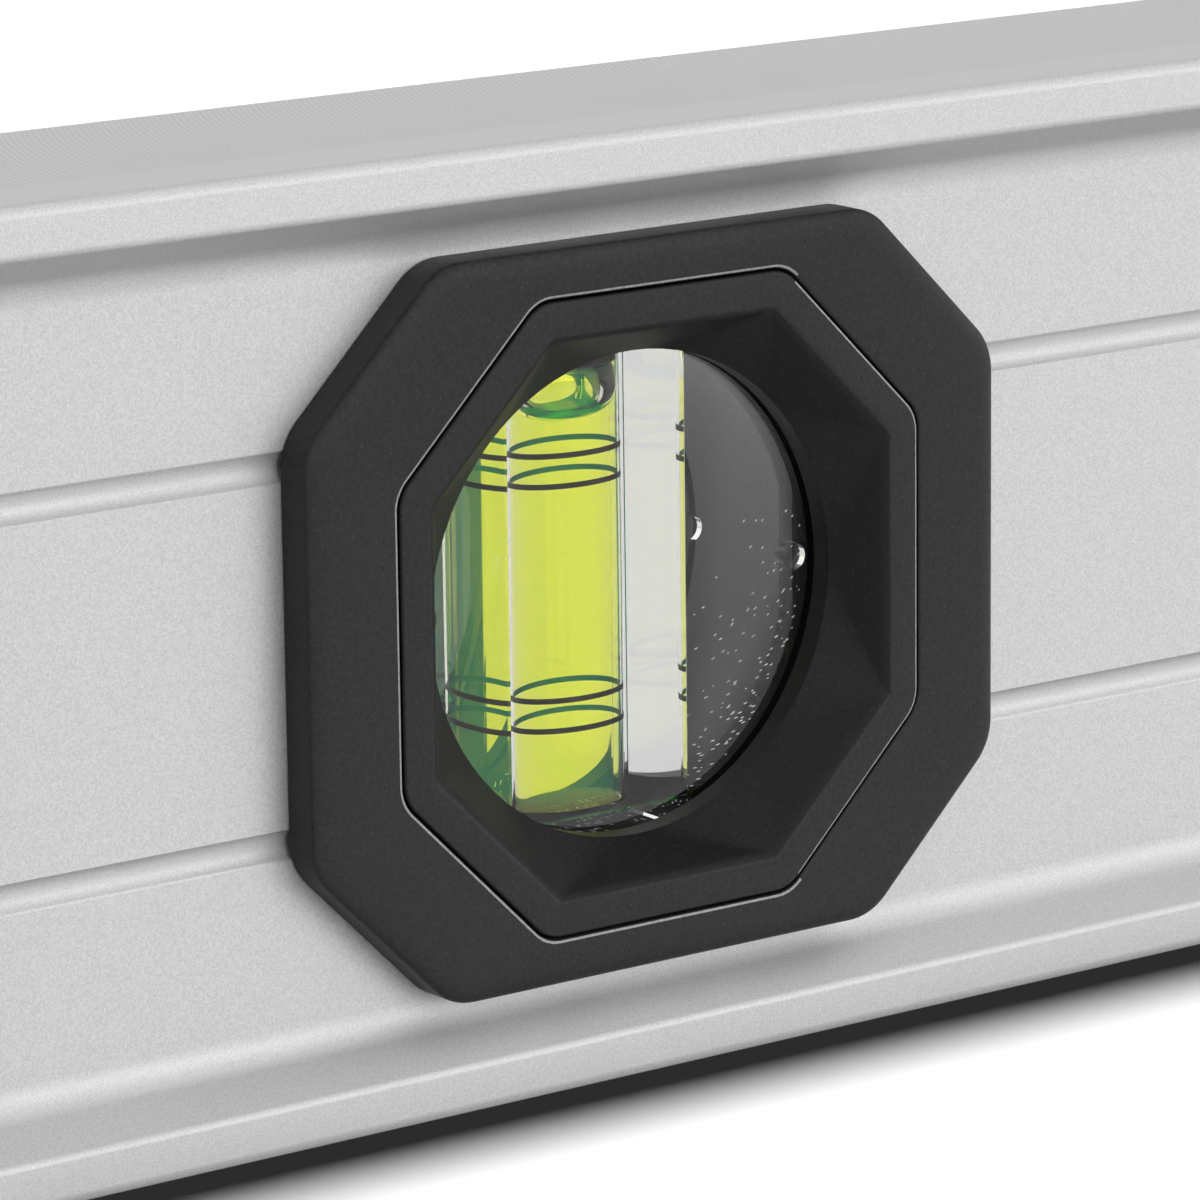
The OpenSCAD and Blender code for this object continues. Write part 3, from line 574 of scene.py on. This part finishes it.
def dress_frame(name, node, side):
    foot_edge, lip = 0.12 * mm, 0.25 * mm
    neck = octagon(neck_w, neck_h, neck_cut, neck_r)
    ledge = ring_outline(parting_gap, ledge_w, ledge_cut)
    loops = [(neck, pane_back), (neck, web), (frame_outline(foot_edge), web)]
    loops.append((frame_outline(0), web + foot_edge))
    for i in range(11):
        turn = math.radians(9 * i)
        inset = bevel_w * (1 - math.cos(turn)) ** 1.25
        loops.append((frame_outline(inset), face - bevel_d * (1 - math.sin(turn))))
    for i in range(6):
        turn = math.radians(18 * i)
        outline = ring_outline(parting_gap + lip * (1 - math.sin(turn)))
        loops.append((outline, face - lip * (1 - math.cos(turn))))
    loops += [(ring_outline(parting_gap), ledge_y), (ledge, ledge_y), (ledge, pane_back)]
    mesh = ring_shell(name, loops, side)
    smooth(mesh, 35)
    for polygon in mesh.polygons:
        out = polygon.center - Vector((plumb_x, 0, mid_z))
        on_lip = 0.85 < abs(polygon.normal.y) < 0.9999 and ring_size(out) < 1.03
        # The frame's lip left of the switch gets the painted highlight
        polygon.material_index = int(on_lip and out.x < highlight_side_x)
    link_piece(name, mesh, [frame_black, painted_edge_highlight], node)


# From a soft-edged octagon at the face to the round rim, and down to the pane's seat
def dress_funnel(name, node, side):
    rim, brow, turn_in = 0.2 * mm, 0.4 * mm, 0.13
    ledge = ring_outline(0, ledge_w, ledge_cut)
    mouth = octagon(mouth_w, mouth_w, mouth_cut, 0.15 * mm)
    brow_top = octagon(mouth_w + 2 * brow, mouth_w + 2 * brow, mouth_cut + 0.6 * brow, 0.3 * mm)
    window, seat = circle(window_r), circle(seat_r)
    deep = face - rim_y
    loops = [(ledge, pane_back), (ledge, ledge_y), (ring_outline(0), ledge_y)]
    for i in range(6):
        turn = math.radians(18 * i)
        loops.append((ring_outline(-rim * (1 - math.cos(turn))), face - rim * (1 - math.sin(turn))))
    for i in range(9):
        t = i / 8
        inner = between(mouth, between(mouth, window, turn_in), t)
        loops.append((between(between(brow_top, mouth, t), inner, t), face - t * t * turn_in * deep))
    for i in range(1, 9):
        t = turn_in + (1 - turn_in) * i / 8
        loops.append((between(mouth, window, t), face - t * deep))
    loops += [(window, pane_face), (seat, pane_face), (seat, pane_back)]
    mesh = ring_shell(name, loops, side)
    smooth(mesh, 24)
    # The slopes and the inside of the ring get the darker black, as painted shade
    for polygon in mesh.polygons:
        out = polygon.center - Vector((plumb_x, 0, mid_z))
        slope = abs(polygon.normal.y) < 0.93
        on_rim = 0.85 < abs(polygon.normal.y) < 0.9999 and ring_size(out) > 0.97
        # The ring's rim right of the switch gets the painted highlight
        lit_edge = on_rim and out.x > highlight_side_x
        polygon.material_index = 2 if lit_edge else int(slope or ring_size(out) < 0.88)
    link_piece(name, mesh, [frame_black, funnel_black_painted_shade, painted_edge_highlight], node)


for end, side in (("front", -1), ("rear", 1)):
    dress_frame("plumb_frame_" + end, "plumb_bezel_" + end, side)
    dress_funnel("plumb_ring_" + end, "plumb_funnel_" + end, side)


# The rest of the body keeps the CAD shape, joined up so that its curves shade smoothly

def dress_copy(name, node, material, body="body", angle=30, edge=0.0):
    mesh = nodes[node].data.copy()
    mesh.name = name
    mesh.materials.clear()
    work = bmesh.new()
    work.from_mesh(mesh)
    bmesh.ops.remove_doubles(work, verts=work.verts, dist=0.0005 * mm)
    bmesh.ops.dissolve_limit(work, angle_limit=math.radians(0.2), verts=work.verts, edges=work.edges)
    work.to_mesh(mesh)
    work.free()
    smooth(mesh, angle)
    piece = link_piece(name, mesh, [material], node, body)
    if edge:
        soften = piece.modifiers.new("soft edges", "BEVEL")
        soften.width = edge
        soften.segments = 2
        soften.limit_method = "ANGLE"
        soften.angle_limit = math.radians(40)
    even = piece.modifiers.new("even shading", "WEIGHTED_NORMAL")
    even.keep_sharp = True


dress_copy("body_extrusion", "profile", aluminium)
for side in ("left", "right"):
    dress_copy("end_cap_cover_" + side, "end_cap_" + side, cap_black, edge=0.25 * mm)
for side in ("front", "rear"):
    dress_copy("level_frame_" + side, "level_bezel_" + side, frame_black, edge=0.2 * mm)
    dress_copy("plumb_pane_" + side, "plumb_window_" + side, acrylic)
dress_copy("plumb_cradle", "plumb_carrier", carrier_black)
dress_copy("level_tub", "level_carrier", carrier_black)
dress_copy("level_window", "level_cover", acrylic)
dress_copy("display_front", "display_housing", frame_black, edge=0.3 * mm)
dress_copy("display_pane", "display_lens", lens_clear)
dress_copy("display_back", "rear_housing", frame_black, edge=0.3 * mm)
dress_copy("battery_hatch", "battery_door", frame_black, body="battery_door", edge=0.15 * mm)
for key, shapes in key_marks.items():
    node = "key_" + key
    dress_copy("key_cap_" + key, node, marked_key(key, shapes), body=node, edge=0.3 * mm)

# Inner parts and fasteners: material, softened edge in millimetres, slot
inner_parts = {
    "lcd_panel": (lcd_grey, 0.0, "lcd"), "light_guide": (guide_white, 0.0, "guide"),
    "circuit_board": (board_green, 0.0, "board"), "keypad_mat": (soft_grey, 0.1, "silicone"),
    "tilt_sensor": (chip_black, 0.05, "chip"), "buzzer": (chip_black, 0.1, "chip"),
    "board_screws": (steel, 0.08, "steel"), "case_seal": (soft_grey, 0.1, "silicone"),
    "battery_cells": (wrap_grey, 0.15, "cell"), "battery_contacts": (steel, 0.05, "steel"),
    "housing_screws": (steel, 0.08, "steel"),
}
for node, (material, edge, slot) in inner_parts.items():
    dress_copy(node + "_dressed", node, material, edge=edge * mm)


# Vials: a block with its bore, the liquid with its bubble, the rings and the stopper

# Each bore is wider in its middle by the crown, and a hair wider than its node, as the picture shows it. The
# liquid ends a skin short of the bore's wall.
crown, bore_extra, skin = 0.12 * mm, 0.05 * mm, 0.025 * mm
stopper_length, stopper_slack = 2.9 * mm, 0.03 * mm
ring_place, ring_pitch, ring_line = 6.9 * mm, 1.95 * mm, 0.36 * mm
ring_sunk, ring_depth = 0.012 * mm, 0.01 * mm


# Middle of a bore, two directions across it, the direction along it, its radius and its length, all from
# the box of its liquid
def bore_frame(name, axis):
    low, high = box(name)
    along = Vector(axis)
    across = Vector((0, 1, 0)).cross(along)
    radius = (high.y - low.y) / 2 + bore_extra
    length = (high - low).dot(along)
    return (low + high) / 2, across, Vector((0, 1, 0)), along, radius, length


def bore_radius(t, radius, length):
    return radius - crown / 2 * (2 * t / length) ** 2


# A round surface about the bore's axis, through an outline of (radius, height) pairs
def turned(work, outline, place, segments=96, slot=0, inward=False):
    origin, u, v, w = place
    rows = []
    for radius, t in outline:
        count = segments if radius else 1
        turns = [2 * math.pi * i / segments for i in range(count)]
        rows.append([work.verts.new(origin + w * t + u * radius * math.cos(a) + v * radius * math.sin(a))
                     for a in turns])
    for a, b in zip(rows, rows[1:]):
        for i in range(segments):
            j = (i + 1) % segments
            ring = [a[i % len(a)], a[j % len(a)], b[j % len(b)], b[i % len(b)]]
            corners = [corner for n, corner in enumerate(ring) if corner not in ring[:n]]
            made = work.faces.new(corners[::-1] if inward else corners)
            made.material_index = slot
    return rows


# Outline of a bore: the middle of its lower end, then up along its barrel-shaped wall
def barrel(radius, length, shrink=0.0, half=16):
    reach = length / 2 - shrink / 4
    return [(0, -reach)] + [(bore_radius(length / 2 * i / half, radius, length) - shrink, reach * i / half)
                            for i in range(-half, half + 1)]


# The block: a clear box with small edges, open into the bore through the stopper's hole
def block_mesh(name, node, bore):
    origin, u, v, w, radius, length = bore
    low, high = box(node)
    top, bottom = high.dot(w), low.dot(w)
    wall = barrel(radius, length)
    work = bmesh.new()
    rows = turned(work, wall + [(wall[-1][0], top - origin.dot(w))], (origin, u, v, w), slot=1, inward=True)
    edge = 0.15 * mm
    rings = []
    for t, inset in ((top, edge), (top - edge, 0), (bottom + edge, 0), (bottom, edge)):
        (u0, u1), (v0, v1) = [sorted((low.dot(d), high.dot(d))) for d in (u, v)]
        u0, u1, v0, v1 = u0 + inset, u1 - inset, v0 + inset, v1 - inset
        cut = edge if inset == 0 else edge * 0.4
        corners = [(u1, v1 - cut), (u1 - cut, v1), (u0 + cut, v1), (u0, v1 - cut),
                   (u0, v0 + cut), (u0 + cut, v0), (u1 - cut, v0), (u1, v0 + cut)]
        rings.append([work.verts.new(u * a + v * b + w * t) for a, b in corners])
    for a, b in zip(rings, rings[1:]):
        for i in range(8):
            j = (i + 1) % 8
            work.faces.new((a[i], b[i], b[j], a[j]))
    work.faces.new(rings[-1])
    edges = []
    for ring in (rows[-1], rings[0]):
        for i in range(len(ring)):
            pair = (ring[i], ring[(i + 1) % len(ring)])
            edges.append(work.edges.get(pair) or work.edges.new(pair))
    bmesh.ops.triangle_fill(work, edges=edges, use_beauty=True, use_dissolve=False)
    bmesh.ops.remove_doubles(work, verts=work.verts, dist=0.0005 * mm)
    bmesh.ops.recalc_face_normals(work, faces=work.faces)
    mesh = finish_mesh(name, work)
    smooth(mesh, 25)
    return mesh


# A geometry tree with named inputs, turned into a plain mesh
def grow(name, build, values, seed=None):
    tree = bpy.data.node_groups.new(name, "GeometryNodeTree")
    tree.interface.new_socket("Geometry", in_out="INPUT", socket_type="NodeSocketGeometry")
    kinds = {float: "NodeSocketFloat", bpy.types.Material: "NodeSocketMaterial"}
    sockets = {}
    for label, value in values.items():
        sockets[label] = tree.interface.new_socket(label, in_out="INPUT", socket_type=kinds[type(value)])
    tree.interface.new_socket("Geometry", in_out="OUTPUT", socket_type="NodeSocketGeometry")
    start = tree.nodes.new("NodeGroupInput")
    end = tree.nodes.new("NodeGroupOutput")
    made = build(tree, start.outputs)
    whole = tree.nodes.new("GeometryNodeRealizeInstances")
    coat = tree.nodes.new("GeometryNodeSetMaterial")
    tree.links.new(made, whole.inputs[0])
    tree.links.new(whole.outputs[0], coat.inputs["Geometry"])
    tree.links.new(start.outputs["Material"], coat.inputs["Material"])
    tree.links.new(coat.outputs[0], end.inputs[0])
    carrier = bpy.data.objects.new(name, seed or bpy.data.meshes.new(name + " seed"))
    scene.collection.objects.link(carrier)
    modifier = carrier.modifiers.new("grow", "NODES")
    modifier.node_group = tree
    for label, value in values.items():
        modifier[sockets[label].identifier] = value
    carrier.update_tag()
    bpy.context.view_layer.update()
    evaluated = carrier.evaluated_get(bpy.context.evaluated_depsgraph_get())
    mesh = bpy.data.meshes.new_from_object(evaluated)
    mesh.name = name
    carrier.modifiers.remove(modifier)
    bpy.data.objects.remove(carrier)
    return mesh


def geo(tree, kind, **links):
    node = tree.nodes.new(kind)
    for label, value in links.items():
        plug(tree, value, node.inputs[label.replace("_", " ")])
    return node


# Two pairs of rings, one pair on each side of the bore's middle
def ring_tree(tree, given):
    round_bore = geo(tree, "GeometryNodeCurvePrimitiveCircle", Resolution=128, Radius=given["Radius"])
    strip = geo(tree, "GeometryNodeCurvePrimitiveQuadrilateral", Width=given["Depth"], Height=given["Line"])
    band = geo(tree, "GeometryNodeCurveToMesh", Curve=round_bore.outputs[0], Profile_Curve=strip.outputs[0])
    both = tree.nodes.new("GeometryNodeJoinGeometry")
    for side in (1, -1):
        start = tree.nodes.new("ShaderNodeCombineXYZ")
        step = tree.nodes.new("ShaderNodeCombineXYZ")
        plug(tree, times(tree, given["Inner"], side), start.inputs[2])
        plug(tree, times(tree, given["Pitch"], side), step.inputs[2])
        line = geo(tree, "GeometryNodeMeshLine", Count=2, Start_Location=start.outputs[0],
                   Offset=step.outputs[0])
        tree.links.new(line.outputs[0], both.inputs[0])
    placed = geo(tree, "GeometryNodeInstanceOnPoints", Points=both.outputs[0], Instance=band.outputs[0])
    return placed.outputs[0]


# Display segments: a stretched hexagon on each point, turned and stretched by the point's own values
def segment_tree(tree, given):
    tile = geo(tree, "GeometryNodeMeshCylinder", Vertices=6, Radius=1.0, Depth=given["Thickness"])
    values = []
    for label in ("turn", "reach"):
        named = tree.nodes.new("GeometryNodeInputNamedAttribute")
        named.data_type = "FLOAT"
        named.inputs["Name"].default_value = label
        values.append(named.outputs[0])
    turn = tree.nodes.new("ShaderNodeCombineXYZ")
    turn.inputs[0].default_value = math.pi / 2
    tree.links.new(values[0], turn.inputs[1])
    size = tree.nodes.new("ShaderNodeCombineXYZ")
    size.inputs[2].default_value = 1
    tree.links.new(values[1], size.inputs[0])
    plug(tree, given["Half Width"], size.inputs[1])
    placed = geo(tree, "GeometryNodeInstanceOnPoints", Points=given["Geometry"], Instance=tile.outputs[0],
                 Rotation=turn.outputs[0], Scale=size.outputs[0])
    return placed.outputs[0]


# Chosen strokes of a seven-stroke digit; across is in half digit widths and up in half heights
def digit_strokes(x, z, width, height, lit):
    strokes = {"a": (0, 1, 0), "b": (1, 0.5, 1), "c": (1, -0.5, 1), "d": (0, -1, 0),
               "e": (-1, -0.5, 1), "f": (-1, 0.5, 1), "g": (0, 0, 0)}
    made = []
    for stroke in lit:
        across, up, upright = strokes[stroke]
        reach = height / 4 if upright else width / 2
        made.append((x + across * width / 2, z + up * height / 2, upright * math.pi / 2, reach * 0.94))
    return made


# A minus sign, two noughts with a point between, a degree ring, a scale below and four battery bars
def dress_display():
    low, high = box("lcd_panel")
    x, z = (low.x + high.x) / 2, (low.z + high.z) / 2 + 1 * mm
    wide, tall, nought = 6.5 * mm, 12.5 * mm, "abcdef"
    upright = math.pi / 2
    strokes = digit_strokes(x - 5.5 * mm, z, wide, tall, nought)
    strokes += digit_strokes(x + 7 * mm, z, wide, tall, nought)
    strokes += digit_strokes(x - 16.5 * mm, z, wide * 0.7, tall, "g")
    strokes += [(x + 0.8 * mm, z - tall / 2, 0, 0.75 * mm)]
    strokes += digit_strokes(x + 14.5 * mm, z + tall / 2 - 1.4 * mm, 2.4 * mm, 2.8 * mm, nought)
    for i in range(-4, 5):
        reach = 1.6 * mm if i == 0 else 0.9 * mm
        strokes.append((x + i * 3.2 * mm, z - tall / 2 - 3.4 * mm, upright, reach))
    strokes += [(low.x + (3.2 + 1.3 * i) * mm, high.z - 2.7 * mm, upright, 1.2 * mm) for i in range(4)]
    seed = bpy.data.meshes.new("strokes")
    front = low.y - 0.04 * mm
    seed.from_pydata([(sx, front, sz) for sx, sz, turn, reach in strokes], [], [])
    for label, column in (("turn", 2), ("reach", 3)):
        values = seed.attributes.new(label, "FLOAT", "POINT")
        values.data.foreach_set("value", [stroke[column] for stroke in strokes])
    mesh = grow("display_strokes", segment_tree, {
        "Thickness": 0.06 * mm, "Half Width": 0.55 * mm, "Material": segment_ink}, seed)
    link_piece("display_strokes", mesh, [], None)


# The reading rings lie a hair deep in the bore's wall
def dress_rings(prefix, bore):
    origin, u, v, w, radius, length = bore
    groove = bore_radius(ring_place, radius, length) + ring_sunk
    mesh = grow(prefix + "_lines", ring_tree, {
        "Radius": groove, "Depth": ring_depth, "Line": ring_line,
        "Inner": ring_place, "Pitch": ring_pitch, "Material": ring_black})
    mesh.transform(Matrix([(u[i], v[i], w[i], origin[i]) for i in range(3)] + [(0, 0, 0, 1)]))
    work = bmesh.new()
    work.from_mesh(mesh)
    bmesh.ops.remove_doubles(work, verts=work.verts, dist=0.0002 * mm)
    bmesh.ops.recalc_face_normals(work, faces=work.faces)
    work.to_mesh(mesh)
    work.free()
    smooth(mesh, 40)
    link_piece(prefix + "_lines", mesh, [], prefix + "_rings")


# The stopper has rounded edges and a shallow dish in its outer end
def dress_stopper(prefix, bore):
    origin, u, v, w, radius, length = bore
    r = radius - crown / 2 - stopper_slack
    start, end = length / 2 + stopper_slack, length / 2 + stopper_length
    outline = [(0, start), (r - 0.15 * mm, start), (r, start + 0.15 * mm), (r, end - 0.2 * mm),
               (r - 0.2 * mm, end), (r - 1 * mm, end), (r - 1.2 * mm, end - 0.4 * mm), (0, end - 0.4 * mm)]
    work = bmesh.new()
    turned(work, outline, (origin, u, v, w))
    bmesh.ops.recalc_face_normals(work, faces=work.faces)
    mesh = finish_mesh(prefix + "_stopper", work)
    smooth(mesh, 40)
    link_piece(prefix + "_stopper", mesh, [stopper_white], prefix + "_plug")


# The liquid, with its bubble as an empty space in it; an open top joins the bubble to the liquid's end
def dress_liquid(prefix, bore, bubble, bubble_up, open_top):
    origin, u, v, w, radius, length = bore
    work = bmesh.new()
    outer = barrel(radius, length, skin)
    closing = bubble[-1][0] if open_top else 0
    turned(work, outer + [(closing, outer[-1][1])], (origin, u, v, w))
    turned(work, bubble, (origin + bubble_up, u, v, w), slot=1, inward=True)
    bmesh.ops.remove_doubles(work, verts=work.verts, dist=0.0005 * mm)
    mesh = finish_mesh(prefix + "_fill", work)
    smooth(mesh, 40)
    link_piece(prefix + "_fill", mesh, [liquid_skin, bubble_wall], prefix + "_liquid")


# Points (radius, height) on an ellipse between two angles in degrees
def arc(radius, height, first, last, step):
    return [(radius * math.cos(math.radians(a)), height * math.sin(math.radians(a)))
            for a in range(first, last + 1, step)]


# The plumb bubble fills the top of its bore, and its underside is a shallow bowl
def plumb_bubble(bore):
    radius, height = bore[4] - 0.08 * mm, 3.5 * mm
    bowl = height * 0.62
    top = bore[5] / 2 - skin / 4
    lowest = top - height
    underside = [(radius * (r / radius) ** 0.75, lowest + bowl - bowl * (-h / bowl) ** 0.75)
                 for r, h in arc(radius, bowl, -86, -2, 4)]
    side = [(radius, lowest + bowl), (radius * 0.97, top - height * 0.12), (radius * 0.9, top)]
    return [(0, lowest)] + underside + side


# The level bubble is a long drop with round ends
def level_bubble(bore):
    radius, reach = bore[4] - 0.35 * mm, 6.5 * mm
    straight = reach - radius
    left = [(r, h - straight) for r, h in arc(radius, radius, -80, 0, 10)]
    right = [(r, h + straight) for r, h in arc(radius, radius, 0, 80, 10)]
    return [(0, -reach)] + left + right + [(0, reach)]


plumb_bore = bore_frame("plumb_liquid", (0, 0, 1))
plumb_bore[0].x -= 0.15 * mm
level_bore = bore_frame("level_liquid", (1, 0, 0))
for prefix, bore, bubble, bubble_up, open_top in (
        ("plumb", plumb_bore, plumb_bubble(plumb_bore), Vector(), True),
        ("level", level_bore, level_bubble(level_bore), Vector((0, 0, 0.15 * mm)), False)):
    block = block_mesh(prefix + "_block", prefix + "_vial", bore)
    link_piece(prefix + "_block", block, [acrylic, bore_wall], prefix + "_vial")
    dress_liquid(prefix, bore, bubble, bubble_up, open_top)
    dress_rings(prefix, bore)
    dress_stopper(prefix, bore)


dress_display()


# Floor, surroundings and lights

# A painted dark patch to the right of the camera, in the floor and the surroundings, which only shows
# through the glass
def painted_dark_patch(tree, x, y):
    turn = calc(tree, "ARCTAN2", x, times(tree, y, -1.0))
    left = ramp(tree, turn, math.radians(6), math.radians(10), 0.0, 1.0)
    right = ramp(tree, turn, math.radians(37.5), math.radians(39), 1.0, 0.0)
    return times(tree, left, right)


# A white floor. Beside the level it carries a painted glow that only reflections see, so it lights the metal
# from close by; through the glass it shows painted shade, darkest in the dark patch; it fades to pure white
# far away.
def make_floor():
    left, right, depth = plumb_x - 2.2, plumb_x + 2.6, 3.0
    work = bmesh.new()
    work.faces.new([work.verts.new((x, y, 0)) for x, y in (
        (left, -depth), (right, -depth), (right, depth), (left, depth))])
    floor = bpy.data.objects.new("floor", finish_mesh("floor", work))
    scene.collection.objects.link(floor)
    floor.location.z = -0.05 * mm
    material, tree, shader = new_material("white floor")
    shader.inputs["Roughness"].default_value = 0.9
    shader.inputs["Specular IOR Level"].default_value = 0.0
    texture = place_grain(tree, 300.0)
    paper = blend(tree, texture["Tone"], (0.9, 0.9, 0.9), (0.92, 0.92, 0.92))
    x, y, z = object_axes(tree)
    rays = add(tree, "LightPath")
    dark_patch = painted_dark_patch(tree, minus(tree, x, plumb_x), y)
    painted_shade_through_glass = times(tree, rays.outputs["Is Transmission Ray"], calc(tree, "MAXIMUM", dark_patch, 0.32))
    tree.links.new(blend(tree, painted_shade_through_glass, paper, (0.0, 0.0, 0.0)), shader.inputs["Base Color"])
    painted_glow_beside_level = ramp(tree, unsigned(tree, y), 12 * mm, 40 * mm, 0.45, 0.0)
    near = times(tree, rays.outputs["Is Glossy Ray"], painted_glow_beside_level)
    far = times(tree, rays.outputs["Is Camera Ray"], ramp(tree, span(tree, x, y), 0.5, 1.1, 0.0, 0.8))
    shader.inputs["Emission Color"].default_value = (1, 1, 1, 1)
    tree.links.new(plus(tree, plus(tree, near, far), 0.025), shader.inputs["Emission Strength"])
    floor.data.materials.append(material)
    return floor


# White surroundings. Reflections also show a brighter band in front, above the floor.
def make_world():
    dim_white = 0.95
    world = bpy.data.worlds.new("studio")
    scene.world = world
    world.use_nodes = True
    tree = world.node_tree
    rays = add(tree, "LightPath")
    seen = calc(tree, "MAXIMUM", rays.outputs["Is Camera Ray"], rays.outputs["Is Transmission Ray"])
    place = add(tree, "TexCoord")
    axes = add(tree, "SeparateXYZ")
    tree.links.new(place.outputs["Generated"], axes.inputs[0])
    x, y, z = axes.outputs
    rise = ramp(tree, z, -0.1, 0.06, dim_white, 2.1)
    fall = ramp(tree, z, 0.25, 0.6, 1.0, 0.6)
    in_front = ramp(tree, y, -0.3, 0.3, 1.0, 0.0)
    band = times(tree, minus(tree, times(tree, rise, fall), dim_white), in_front)
    mirrored = times(tree, plus(tree, band, dim_white), minus(tree, 1.0, seen))
    # Through the glass the surroundings show the painted dark patch
    dark_patch = times(tree, painted_dark_patch(tree, x, y), rays.outputs["Is Transmission Ray"])
    looked_at = times(tree, seen, minus(tree, 1.0, dark_patch))
    tree.links.new(plus(tree, mirrored, looked_at), tree.nodes["Background"].inputs["Color"])
    world.cycles_visibility.diffuse = False


def make_light(name, place, aim, width, height, power, receivers):
    light = bpy.data.lights.new(name, "AREA")
    light.shape = "ELLIPSE"
    light.size = width
    light.size_y = height
    light.energy = power
    lamp = bpy.data.objects.new(name, light)
    scene.collection.objects.link(lamp)
    lamp.location = place
    lamp.rotation_euler = (Vector(aim) - Vector(place)).to_track_quat("-Z", "Y").to_euler()
    lamp.visible_camera = False
    lamp.visible_transmission = False
    lamp.visible_glossy = False
    lamp.light_linking.receiver_collection = receivers


floor = make_floor()
make_world()
floor_only = bpy.data.collections.new("lit by the floor lamp")
floor_only.objects.link(floor)
level_only = bpy.data.collections.new("lit by the softboxes")
for item in scene.objects:
    if item.type == "MESH" and item != floor:
        level_only.objects.link(item)
middle = (plumb_x, 0, mid_z)
make_light("floor lamp", (0, 0.42, 4.0), (0, 0.42, 0), 2.6, 0.6, 198.0, floor_only)
make_light("overhead softbox", (plumb_x + 0.1, 0, 1.2), middle, 1.5, 1.0, 3.0, level_only)
for side in (-1, 1):
    make_light("softbox", (plumb_x + 0.3, 1.15 * side, 0.2), middle, 1.4, 0.8, 14.9, level_only)

scene.view_settings.view_transform = "Standard"
scene.view_settings.look = "None"
scene.cycles.max_bounces = 18
scene.cycles.transmission_bounces = 16
scene.cycles.glossy_bounces = 4
scene.cycles.diffuse_bounces = 0
scene.cycles.transparent_max_bounces = 8
scene.cycles.use_denoising = True
scene.cycles.sample_clamp_indirect = 6.0
